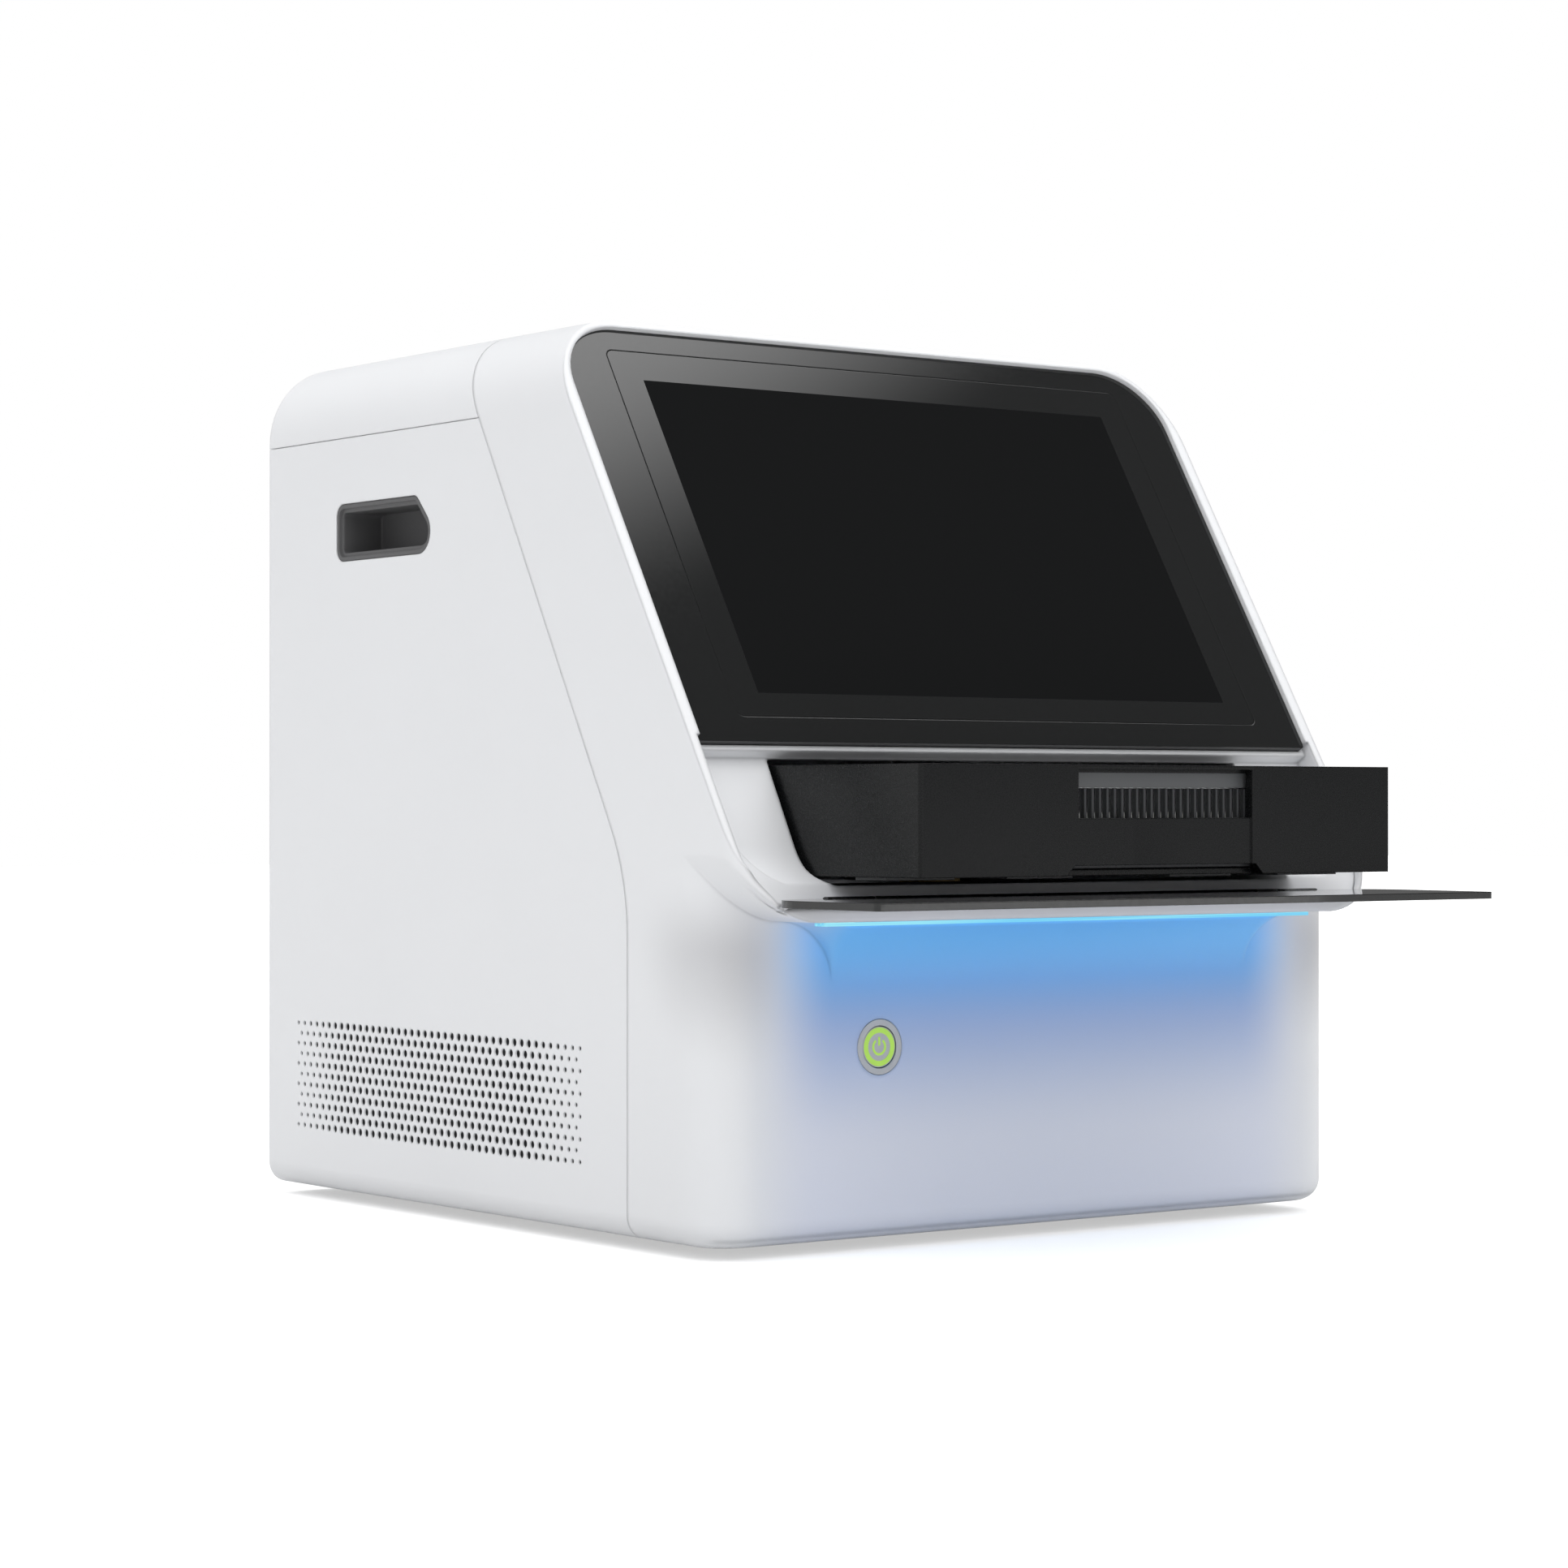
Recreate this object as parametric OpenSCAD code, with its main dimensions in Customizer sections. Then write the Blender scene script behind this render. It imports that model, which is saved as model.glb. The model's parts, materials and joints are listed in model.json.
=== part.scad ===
// Bench-top real-time thermal cycler: sloped touch screen, motor-driven sample drawer, drop-down flap.
// Millimetres, +Z up, +Y to the rear. The origin is on the bench, under the middle of the overall box.

/* [Body] */
// Width over the side panels
body_w = 350; // [344:1:360]
// Depth from the lower front face to the rear edges
body_d = 361; // [355:1:380]
// Height from the underside of the shell to the roof
body_h = 388; // [380:1:400]
// Height of the rubber feet
foot_h = 5; // [3:0.5:8]
// Thickness of the moulded shells
wall = 3; // [2.5:0.1:3.5]
// Gap at the seams between shells
seam = 0.3; // [0.2:0.05:0.5]
// Radius of the long roof edges
roof_r = 38; // [34:1:42]
// Radius of the front corners seen from above
corner_r = 22; // [18:1:26]
// Radius of the lower edges
bottom_r = 10; // [6:1:12]
// Radius of the edge between the slope and the roof
brow_r = 5; // [3:0.5:8]

/* [Seams] */
// Height of the top cover above its seam with the side panels
cover_h = 40; // [40:1:55]
// Distance of the upright front seam behind the lower front face
front_seam_d = 59.6; // [56:0.2:64]
// Height above the underside where the front seam starts to lean back
front_seam_h = 148.8; // [140:0.2:155]
// Lean of the front seam from the vertical
front_seam_lean = 30; // [28:0.5:31]
// Radius of the bend in the front seam
front_seam_r = 90; // [60:5:110]

/* [Sloped front] */
// Lean of the screen panel from the vertical
slope = 31.5; // [31:0.1:32]
// Height of the panel's lower edge above the shell's underside
panel_h = 205; // [203:0.5:207]
// Distance of the panel's lower edge behind the lower front face
panel_setback = 16.5; // [15:0.5:18]
// Width of the white rim beside the panel
rim_w = 5.8; // [5:0.1:7]
// Height of the rim above the panel's face
rim_proud = 2; // [1.5:0.1:2.5]
// Width of the white edge beside the recess
edge_w = 4; // [3.5:0.1:5]
// Radius of the sweep from the slope to the lip
bend_r = 40; // [36:1:44]
// Height above the underside that the sweep bottoms out at
bend_h = 142; // [141:0.5:143]
// Distance from the panel's upper edge to the roof
panel_top_gap = 4; // [3.5:0.1:6]
// Thickness of the screen panel
panel_t = 4; // [3.5:0.1:4.5]
// Radius of the panel's upper corners
panel_r = 32; // [28:1:36]
// Lean of the back of the recess from the vertical
recess_lean = 28.8; // [27:0.2:30]
// Distance of the recess floor's rear edge ahead of the lower front face
recess_ahead = 5.6; // [4:0.2:7]
// Radius between the back and the floor of the recess
recess_r = 30; // [24:1:32]
// Radius of the recess's lower corners seen from the front
recess_corner_r = 30; // [26:1:31]

/* [Lip and light] */
// Reach of the lip ahead of the lower front face
lip_reach = 27.5; // [27:0.1:28.5]
// Radius of the lip's nose
nose_r = 20; // [16:1:22]
// Radius of the hollow under the lip
undercut_r = 26; // [25:0.5:26.5]
// Height above the underside where the hollow starts
undercut_h = 106; // [104:0.5:106.5]
// Radius of the lip's lower corners seen from the front
lip_sweep_r = 35; // [32:1:36]
// Distance from the light bar's ends to the sides
light_inset = 40.6; // [38:0.2:60]
// Thickness of the light bar
light_t = 2.4; // [2:0.1:3]

/* [Power button] */
// Diameter of the button cap
button_d = 17; // [15:0.5:18]
// Outer diameter of the button ring
button_ring_d = 23; // [22:0.5:26]
// Height of the button above the shell's underside
button_h = 79.3; // [70:1:85]
// Distance of the button to the left of the middle
button_left = 89.8; // [80:1:95]
// Stroke of the button
button_stroke = 1.5; // [1:0.1:2]

/* [Flap] */
// Length of the flap from its hinge axis
flap_len = 76.3; // [75.5:0.1:77]
// Thickness of the flap
flap_t = 3; // [2.6:0.1:3.2]
// Gap between the shut flap and the panel
flap_gap = 0.8; // [0.6:0.1:1.2]
// Diameter of the flap's hinge barrel
barrel_d = 6; // [5.6:0.1:6.2]
// Diameter of the hinge pins
pin_d = 3; // [2.5:0.1:3.2]

/* [Drawer] */
// Width of the drawer
drawer_w = 258.6; // [254:0.2:260]
// Height of the drawer
drawer_h = 45; // [44:0.2:45.6]
// Length of the drawer
drawer_len = 160; // [155:1:162]
// Reach of the open drawer ahead of the lower front face
drawer_reach = 76.5; // [74:0.5:78]
// Height of the drawer's underside above the shell's underside
drawer_z0 = 150.3; // [150:0.1:151]
// Depth kept behind the shut drawer for its drive and the rear panel
drive_room = 72.5; // [72:0.5:76]
// Wall of the drawer
drawer_wall = 3; // [2.5:0.1:3.5]
// Radius of the drawer's front corners
drawer_r = 2; // [1:0.5:3]
// Width of the window in the drawer's front
window_w = 96; // [80:1:100]

/* [Vents and handles] */
// Distance from the side vent to the rear edge
vent_rear = 28.1; // [24:0.1:60]
// Distance from the side vent to the lower front face
vent_front = 94.7; // [94:0.1:140]
// Rows of holes in the side vent
vent_rows = 11; // [7:2:11]
// Pitch along a row
vent_pitch = 5.67; // [5.2:0.01:6.2]
// Pitch between rows
vent_row_pitch = 4.76; // [4.4:0.01:4.9]
// Diameter of the full-size holes
vent_d = 3.5; // [3:0.1:3.8]
// Diameter of the end holes
vent_d_end = 1.9; // [1.5:0.1:2.4]
// Depth of the handle cups
cup_depth = 22; // [18:0.5:22.5]

/* [Thermal block] */
// Pitch of the wells
well_pitch = 9; // [8.8:0.05:9]
// Diameter of a well's mouth
well_d = 6.2; // [5.4:0.1:6.6]
// Thickness of the sample block
block_t = 14; // [12:0.5:14.5]
// Depth of the plate pocket above the block
pocket_depth = 5.2; // [4.8:0.1:5.6]
// Fins of the heat sink
fin_count = 31; // [21:2:35]

/* [Hidden] */
$fn = 64;
eps = 0.01;
far = 600;

// Running and fitting clearances
run_gap = 0.06;
fit_gap = 0.2;
slide_gap = 0.4;
press_gap = 0.02;

// Overall places
z0 = foot_h;
z1 = foot_h + body_h;
hinge_s = flap_len + flap_gap;
flap_reach = hinge_s * sin(slope) + flap_len - panel_setback;
y_rear = (body_d + flap_reach) / 2;
y_front = y_rear - body_d;
half_w = body_w / 2;
inner_x = half_w - wall;

// Sloped front
panel_y = y_front + panel_setback;
panel_z = z0 + panel_h;
panel_half = half_w - rim_w;
panel_len = (z1 - panel_top_gap - panel_z) / cos(slope);
panel_low_r = 1.5;
ledge_t = 5;
ledge_w = 8;
ledge_low_w = 6;
ledge_r = 4;
behind_panel = 35;
web_t = 2.5;
function rim_y(z) = panel_y + (z - panel_z) * tan(slope) - rim_proud / cos(slope);
bend_z = z0 + bend_h + bend_r;
bend_start_z = bend_z - bend_r * sin(slope);
bend_y = rim_y(bend_start_z) - bend_r * cos(slope);
lip_y = y_front - lip_reach;
undercut_z = z0 + undercut_h;
lip_z = undercut_z + undercut_r;
recess_half = half_w - edge_w;
overlap = 0.05;
nose_y = lip_y - 0.5 + nose_r;
nose_z = bend_z - sqrt(pow(bend_r + nose_r - overlap, 2) - pow(nose_y - bend_y, 2));
lip_sweep_x = half_w + 1 - lip_sweep_r;
lip_sweep_z = lip_z + lip_sweep_r - 0.1;
light_w = body_w - 2 * light_inset;
light_d = 7;
light_back = 14.5;
light_sunk = 0.6;
cavity_front_h = 16;
cavity_back_h = 19;

// Power button
button_depth = 12;
button_flange_t = 1;
button_floor_t = 2;
button_sunk = 0.4;
button_play = 0.3;
button_tube_d = button_ring_d - 2.4;

// Flap hinge, on the panel's plane
hinge_y = panel_y - hinge_s * sin(slope);
hinge_z = panel_z - hinge_s * cos(slope);
flap_drop = 0.7;
flap_clear = 0.6;
flap_half = panel_half - 0.3;
flap_r = 3;
flap_room_r = corner_r + 2.5;
bracket_x = 106;
bracket_w = 11.4;
bracket_len = 12;
bracket_rise = 0.4;
barrel_end = 136;
pin_len = 40;

// Drawer and its bay
drawer_y = y_front - drawer_reach;
drawer_z = z0 + drawer_z0;
drawer_top = drawer_z + drawer_h;
bay_gap = 2.1;
bay_floor_z = drawer_z - 4;
bay_top_z = drawer_top + 2.4;
bay_back_y = panel_y + 11;
bay_low_r = 8;
bay_top_r = 1.5;
deck_t = 3;
drawer_floor_t = 2.5;
front_wall = 4;

// Thermal stack, seen from above centred on block_y
well_cols = 12;
well_rows = 8;
well_floor = 3;
block_w = (well_cols - 1) * well_pitch + 23;
block_d = (well_rows - 1) * well_pitch + 13;
block_front_gap = 4;
block_y = drawer_y + front_wall + block_front_gap + block_d / 2;
block_top = drawer_top - pocket_depth;
block_z = block_top - block_t;
peltier_t = 4;
peltier_gap = 1;
sink_base_t = 6;
sink_z = block_z - peltier_t - sink_base_t;
fin_t = 1.2;
fin_gap = 0.6;
fin_bar_h = 3;
fin_top = drawer_top - 9.5;
fin_low = drawer_z + drawer_floor_t + 0.5;
fin_front_y = drawer_y + front_wall + 0.8;

// Carriage drive
rail_x = drawer_w / 2 + 16.7;
rail_wall = 1.5;
rail_z = drawer_z + 8;
rail_h = 26;
rail_lip_x = drawer_w / 2 + 8;
rail_reach = 3;
runner_len = 50;
drawer_travel = body_d + drawer_reach - drawer_len - drive_room;
rail_front = bay_back_y + 5;
carriage_back = drawer_y + drawer_len;
rail_back = carriage_back + drawer_travel + rail_reach;
chassis_t = 2;
chassis_x = rail_x + chassis_t;
chassis_front = rail_front - 2;
chassis_back = y_rear - 30;
chassis_top = drawer_top + 52;
chassis_foot_w = 10;
chassis_border = 20;
lcd_t = 10;
screen_back = (panel_t + lcd_t + 4) / cos(slope);
function screen_back_y(z) = panel_y + (z - panel_z) * tan(slope) + screen_back;
function screen_back_z(y) = panel_z + (y - panel_y - screen_back) / tan(slope);
deck_z = drawer_z - 21.3;
screw_d = 8;
screw_z = drawer_z - 9.3;
screw_tail = 8;
nut_w = 28;
nut_len = 15;
nut_drop = 7;
bearing_len = 8;
screw_front = rail_front;
rear_bearing_y = carriage_back + drawer_travel + 2;
screw_end = rear_bearing_y + bearing_len + screw_tail;
motor_face_y = rear_bearing_y + bearing_len + 20;
motor_side = 42.3;
motor_len = 28;
motor_plate_t = 3;
motor_gap = 2;
motor_r = 4;
motor_boss_d = 22;
motor_boss_h = 2;
motor_shaft_d = 5;
motor_shaft_len = 9.8;
motor_foot_w = 12;
motor_foot_len = 19;
motor_foot_t = 2;
coupling_d = 16;

// Heated lid and optics
lid_y = block_y + drawer_travel;
lid_lift = 10;
lid_t = 15;
lid_z = drawer_top + slide_gap + lid_lift;
bridge_t = 4;
post_d = 6;
post_x = block_w / 2 - 3;
post_y = block_d / 2 - 3;
lid_well_d = 4.5;
lid_arm_half = 12;
lid_arm_z = 5;
lid_arm_end = 8;
bridge_front = 16;
bridge_back = 20;
bridge_hole = [block_w / 2 - 11, block_d / 2 - 10];
rod_hole_d = 9;
actuator_y = lid_y + block_d / 2 + 24;
actuator_d = 26;
actuator_h = 34;
actuator_foot = [18, 10];
actuator_foot_t = 3;
post_end = 4;
rod_end = 12;
optics_w = 140;
optics_wall = 4;
optics_d = block_d + 14;
optics_room = 62.7;
optics_top = min(z1 - optics_room, screen_back_z(lid_y - optics_d / 2 - 14));
wheel_r = 38;
wheel_t = 6;
wheel_z = optics_top + 3;
wheel_y = lid_y + 17;
filter_ring_r = 25;
filter_count = 6;
filter_d = 18;
filter_t = 3;
wheel_boss_d = 12;
wheel_shaft_d = 5;
wheel_seat = 2;
optics_plate_z = wheel_z + wheel_t + 4;
optics_plate_t = 3;
optics_plate_half = 52;
optics_plate_ys = [wheel_y - 42, wheel_y + 24];
optics_post_d = 7;
optics_post_inset = 4;
wheel_motor_d = 24;
wheel_motor_h = 18;
camera_half = [15, 12];
camera_h = 18;
lens_d = 24;
lens_h = 6;
lens_ring_d = 20;
lens_ring_h = 2;

// Rear
rear_y1 = y_rear - wall;
rear_t = 2.5;
rear_y0 = rear_y1 - rear_t;
fan_side = 80;
fan_t = 25;
fan_z = z0 + 72;
fan_bore_r = 37;
fan_r = 4;
fan_hole = 35.75;
fan_hole_d = 4.3;
fan_boss_d = 34;
fan_web_t = 3;
fan_arm_w = 4;
fan_shaft_d = 4;
fan_hub_d = 32;
blade_count = 7;
blade_pitch = 35;
blade_chord = 18;
blade_t = 1.8;
blade_gap = 1.5;
guard_wire = 1.6;
guard_first_r = 8;
guard_step = 7.5;
guard_rings = 5;
guard_pad_d = 8;
inlet_x = half_w - 36;
fan_x = inlet_x - 61;
inlet_z = z0 + 45;
inlet_half = [13.8, 10.3];
inlet_flange = [16, 12.5];
inlet_flange_t = 2;
inlet_r = 3;
inlet_wall = 1.8;
inlet_depth = 14;
inlet_pins = [[-7, -2], [0, 2], [7, -2]];
inlet_pin_half = [1, 2];
switch_z = z0 + 85;
switch_half = [9.8, 13.8];
switch_flange = [12, 16];
switch_flange_t = 1.6;
switch_r = 2;
switch_depth = 14;
rocker_half = [7, 11];
rocker_gap = 1.2;
rocker_y = rear_y0 - 2;
rocker_pin_d = 2.4;
rocker_pin_half = 8.8;
rocker_heel = 4;
rocker_crown = 0.6;
ports_x = -inlet_x;
ports_z = z0 + 60;
port_depth = 14;
rear_slots = 12;
rear_slot_half = 110;
rear_slot_h = 3;
rear_slot_pitch = 7;
rear_slot_top = 54;
port_wall = 1;
port_back = 3;
port_proud = 0.6;
// Height, half width and half height of each port
ports = [[ports_z - 17, 7, 3.4], [ports_z - 2, 7, 3.4], [ports_z + 17, 8, 7]];

// Colours
shell_white = [0.87, 0.87, 0.88];
gloss_black = [0.10, 0.105, 0.11];
steel = [0.62, 0.64, 0.66];
alloy = [0.78, 0.79, 0.80];
dark_grey = [0.30, 0.31, 0.32];

// Helpers

function unit(v) = v / norm(v);
function toward(p, i, k) = unit(p[(i + k + len(p)) % len(p)] - p[i]);
function turn(p, i) = acos(toward(p, i, -1) * toward(p, i, 1));
function corner_centre(p, i, r) =
  p[i] + unit(toward(p, i, -1) + toward(p, i, 1)) * r / sin(turn(p, i) / 2);

// Convex outline with every corner rounded to its radius in rs
module soft_polygon(p, rs) {
  polygon([for (i = [0:len(p) - 1], k = [-1, 1]) p[i] + toward(p, i, k) * rs[i] / tan(turn(p, i) / 2)]);
  for (i = [0:len(p) - 1])
    if (rs[i] > 0)
      translate(corner_centre(p, i, rs[i])) circle(rs[i]);
}

// Rectangle from a low to a high corner, with lower and upper corner radii
module soft_rect(low, high, r_low, r_high) {
  soft_polygon([low, [high[0], low[1]], high, [low[0], high[1]]], [r_low, r_low, r_high, r_high]);
}

// Box from a low to a high corner
module block(low, high) {
  translate(low) cube(high - low);
}

// Extrude an outline drawn in Y and Z along X
module along_x(x_low, x_high) {
  translate([x_low, 0, 0]) rotate([90, 0, 90]) linear_extrude(x_high - x_low) children();
}

// Extrude an outline drawn in X and Z along Y
module along_y(y_low, y_high) {
  translate([0, y_high, 0]) rotate([90, 0, 0]) linear_extrude(y_high - y_low) children();
}

// Extrude an outline drawn in X and Y along Z
module along_z(z_low, z_high) {
  translate([0, 0, z_low]) linear_extrude(z_high - z_low) children();
}

// Place children on the screen panel: x across, y up the slope from the lower edge, z out of the face
module on_slope() {
  translate([0, panel_y, panel_z]) rotate([90 - slope, 0, 0]) children();
}

// Left and right copies
module both_sides() {
  children();
  mirror([1, 0, 0]) children();
}

// Round bar along X, Y or Z
module bar_x(x_low, x_high, y, z, d) {
  translate([x_low, y, z]) rotate([0, 90, 0]) cylinder(d = d, h = x_high - x_low);
}
module bar_y(x, y_low, y_high, z, d) {
  translate([x, y_high, z]) rotate([90, 0, 0]) cylinder(d = d, h = y_high - y_low);
}
module bar_z(x, y, z_low, z_high, d) {
  translate([x, y, z_low]) cylinder(d = d, h = z_high - z_low);
}

// Body forms

// Cross-section of the body, inset from the outside
module body_section(inset) {
  soft_rect([-half_w + inset, z0 + inset], [half_w - inset, z1 - inset],
    max(bottom_r - inset, 1), roof_r - inset);
}

// Side view of the body without the hollow under the lip
module body_side_view() {
  brow = [rim_y(z1), z1];
  brow_p = [brow, [y_rear, z1], [bend_y, bend_z] + [0, -far], [rim_y(bend_start_z), bend_start_z]];
  brow_tan = brow_r / tan((90 + slope) / 2);
  nose = [nose_y, nose_z];
  nose_top = nose + (nose_r + 5) * unit([bend_y, bend_z] - nose);
  nose_front = nose_y - nose_r - 5;
  difference() {
    union() {
      polygon([[y_rear, z0], [y_rear, z1], brow + [brow_tan, 0], brow - brow_tan * [sin(slope), cos(slope)],
        [rim_y(bend_start_z), bend_start_z], [bend_y, bend_z], [bend_y, z0]]);
      translate(corner_centre(brow_p, 0, brow_r)) circle(brow_r);
    }
    translate([bend_y, bend_z]) circle(bend_r);
    difference() {
      polygon([nose, nose_top, [nose_front, nose_top[1]], [nose_front, nose_z]]);
      translate(nose) circle(nose_r);
    }
  }
}

// Space under the lip seen from the front: flat in the middle, swept up to the sides
module under_lip_view() {
  difference() {
    translate([-far, -far]) square([2 * far, far + lip_sweep_z]);
    translate([-lip_sweep_x, lip_z]) square([2 * lip_sweep_x, far]);
    both_sides() translate([lip_sweep_x, lip_sweep_z]) circle(lip_sweep_r);
  }
}

// Hollow between the lower front face and the lip: distance ahead of the face, and height
module lip_fillet_view(start, low) {
  difference() {
    translate([start, low]) square([undercut_r - start, lip_z + 1 - low]);
    translate([undercut_r, undercut_z]) circle(undercut_r);
  }
}

// Rounding of the lower edge: distance out from the corner axis, and height
module bottom_edge_view() {
  difference() {
    translate([corner_r - bottom_r, -far]) square([bottom_r + 1, far + z0 + bottom_r]);
    translate([corner_r - bottom_r, z0 + bottom_r]) circle(bottom_r);
  }
}

// Lower housing seen from above
module lower_plan() {
  soft_rect([-half_w, y_front], [half_w, 2 * far], corner_r, 0);
}

// Space in front of the lower housing and under the lip
module undercut() {
  axis_x = half_w - corner_r;
  axis_y = y_front + corner_r;
  fillet_x = lip_sweep_x - undercut_r;
  difference() {
    along_y(-far, axis_y) under_lip_view();
    along_z(-far, far) lower_plan();
    translate([0, y_front, 0]) mirror([0, 1, 0]) along_x(-fillet_x, fillet_x) lip_fillet_view(-1, undercut_z);
    both_sides() translate([fillet_x, y_front, 0]) rotate_extrude() lip_fillet_view(0, undercut_z + 3);
  }
  translate([0, axis_y, 0]) mirror([0, 1, 0]) along_x(-axis_x, axis_x) bottom_edge_view();
  both_sides()
    translate([axis_x, axis_y, 0]) rotate([0, 0, -90]) rotate_extrude(angle = 90) bottom_edge_view();
}

// Everything behind the front seam, in side view
module behind_seam() {
  v = [y_front + front_seam_d, z0 + front_seam_h];
  lean = [sin(front_seam_lean), cos(front_seam_lean)];
  t = front_seam_r * tan(front_seam_lean / 2);
  c = v + [front_seam_r, -t];
  difference() {
    polygon([[v[0], -far], v, v + far * lean, [2 * far, far], [2 * far, -far]]);
    difference() {
      polygon([v - [0, t], v - [1, 0], v + t * lean, c]);
      translate(c) circle(front_seam_r);
    }
  }
}

// Closed outer form of the front housing
module front_outer() {
  difference() {
    intersection() {
      along_x(-half_w, half_w) body_side_view();
      along_y(lip_y, y_rear) body_section(0);
      along_z(z0 - 1, z1 + 1)
        soft_rect([-half_w, lip_y], [half_w, 2 * far], corner_r, 0);
    }
    undercut();
    along_x(-far, far) behind_seam();
  }
}

// Cavity of the front housing, behind the recess and the panel's ledge
module front_cavity() {
  ledge_y = panel_y + (panel_t + ledge_t) / cos(slope);
  function ledge_line(z) = ledge_y + (z - panel_z) * tan(slope);
  intersection() {
    along_x(-inner_x, inner_x)
      polygon([[y_front + wall, z0 + wall], [y_front + wall, undercut_z + cavity_front_h],
        [bay_back_y, undercut_z + cavity_back_h],
        [bay_back_y, panel_z], [ledge_line(panel_z), panel_z], [ledge_line(z1), z1],
        [far, z1], [far, z0 + wall]]);
    along_y(lip_y, y_rear) body_section(wall);
    along_z(z0, z1) soft_rect([-inner_x, y_front + wall], [inner_x, 2 * far], corner_r - wall, 0);
  }
}

module panel_outline(gap) {
  soft_rect([-panel_half - gap, -gap], [panel_half + gap, panel_len + gap], panel_low_r + gap, panel_r + gap);
}

module panel_seat() {
  on_slope() {
    translate([0, 0, -panel_t]) linear_extrude(far) panel_outline(fit_gap);
    translate([0, 0, -panel_t - behind_panel])
      linear_extrude(behind_panel + 1)
        soft_rect([-panel_half + ledge_w, ledge_low_w], [panel_half - ledge_w, panel_len - ledge_w],
          ledge_r, panel_r - ledge_w);
  }
}

// Scoop below the panel, where the open flap and drawer come out
module recess() {
  heel = [y_front - recess_ahead, bay_floor_z];
  top_z = panel_z + 10;
  intersection() {
    along_x(-recess_half, recess_half)
      difference() {
        soft_polygon([heel, heel + (top_z - heel[1]) * [tan(recess_lean), 1], [-far, top_z], [-far, heel[1]]],
          [recess_r, 0, 0, 0]);
        translate([panel_y, panel_z]) rotate(90 - slope) translate([-web_t, -far]) square(2 * far);
      }
    along_y(-far, far)
      soft_rect([-recess_half, bay_floor_z], [recess_half, top_z], recess_corner_r, 0);
  }
}

module drawer_bay() {
  along_y(-far, bay_back_y + 1)
    soft_rect([-drawer_w / 2 - bay_gap, bay_floor_z], [drawer_w / 2 + bay_gap, bay_top_z],
      bay_low_r, bay_top_r);
}

// Space that the flap sweeps about its hinge: distance from the axis, and place along it
module flap_sweep_view() {
  reach = hinge_s + 2;
  intersection() {
    translate([1, -half_w]) square([reach - 1, body_w]);
    soft_polygon([[-flap_t, -recess_half], [2 * reach, -recess_half], [2 * reach, recess_half],
      [-flap_t, recess_half]], [flap_room_r, 0, 0, flap_room_r]);
  }
}

// Room for the flap from open to shut
module flap_room() {
  floor_z = hinge_z - flap_drop - flap_clear;
  back_y = panel_y + (flap_t - flap_drop + flap_clear) / cos(slope);
  top_z = panel_z + 10;
  intersection() {
    translate([0, hinge_y, hinge_z]) rotate([0, 90, 0]) rotate_extrude() flap_sweep_view();
    along_x(-half_w, half_w)
      polygon([[back_y + (floor_z - panel_z) * tan(slope), floor_z], [-far, floor_z], [-far, top_z],
        [back_y + (top_z - panel_z) * tan(slope), top_z]]);
  }
  bar_x(-recess_half + flap_room_r / 2, recess_half - flap_room_r / 2, hinge_y, hinge_z,
    barrel_d + 2 * flap_clear);
}

module bracket_view() {
  translate([hinge_y, hinge_z]) circle(d = barrel_d);
  translate([hinge_y, hinge_z - barrel_d / 2]) square([bracket_len, barrel_d / 2 + bracket_rise]);
}

module light_section(gap, below) {
  translate([y_front - light_back - light_d - gap, lip_z - light_t + light_sunk - below])
    square([light_d + 2 * gap, light_t + below]);
}

// Outer shells

module front_housing() {
  color(shell_white)
    difference() {
      front_outer();
      front_cavity();
      panel_seat();
      recess();
      drawer_bay();
      flap_room();
      both_sides()
        block([bracket_x - bracket_w / 2 - fit_gap, hinge_y - 1, hinge_z - barrel_d / 2 - fit_gap],
          [bracket_x + bracket_w / 2 + fit_gap, hinge_y + bracket_len + fit_gap,
            hinge_z + bracket_rise + fit_gap]);
      along_x(-light_w / 2 - fit_gap, light_w / 2 + fit_gap) light_section(fit_gap, undercut_r / 2);
      bar_y(-button_left, y_front - 1, y_front + wall + 1, z0 + button_h, button_tube_d + 2 * fit_gap);
      bar_y(-button_left, y_front - 1, y_front + button_flange_t, z0 + button_h, button_ring_d + 2 * fit_gap);
    }
}

// Shell behind the front seam, as one closed tube
module rear_tube() {
  intersection() {
    along_y(y_front, y_rear)
      difference() {
        body_section(0);
        body_section(wall);
      }
    along_x(-far, far) translate([seam, 0]) behind_seam();
  }
}

flange_x = half_w - 17;
side_seam_z = z1 - cover_h;
handle_back = 63;
handle_drop = 57;
handle_h = 26.6;
handle_points = [[0, 0], [0, handle_h], [-71.1, handle_h], [-96.1, 0]];
handle_rs = [6, 6, 6, 10];
cup_wall = 2;
cup_rim = 4;
cup_sunk = 0.3;
cup_step = 2.2;
cup_step_depth = 1.6;
vent_mid_h = 53.2;
vent_grade = 7;

// Handle opening in side view
module handle_outline(inset) {
  p = [for (q = handle_points) [y_rear - handle_back, side_seam_z - handle_drop] + q];
  soft_polygon([for (i = [0:len(p) - 1]) corner_centre(p, i, inset)], [for (r = handle_rs) r - inset]);
}

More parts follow.
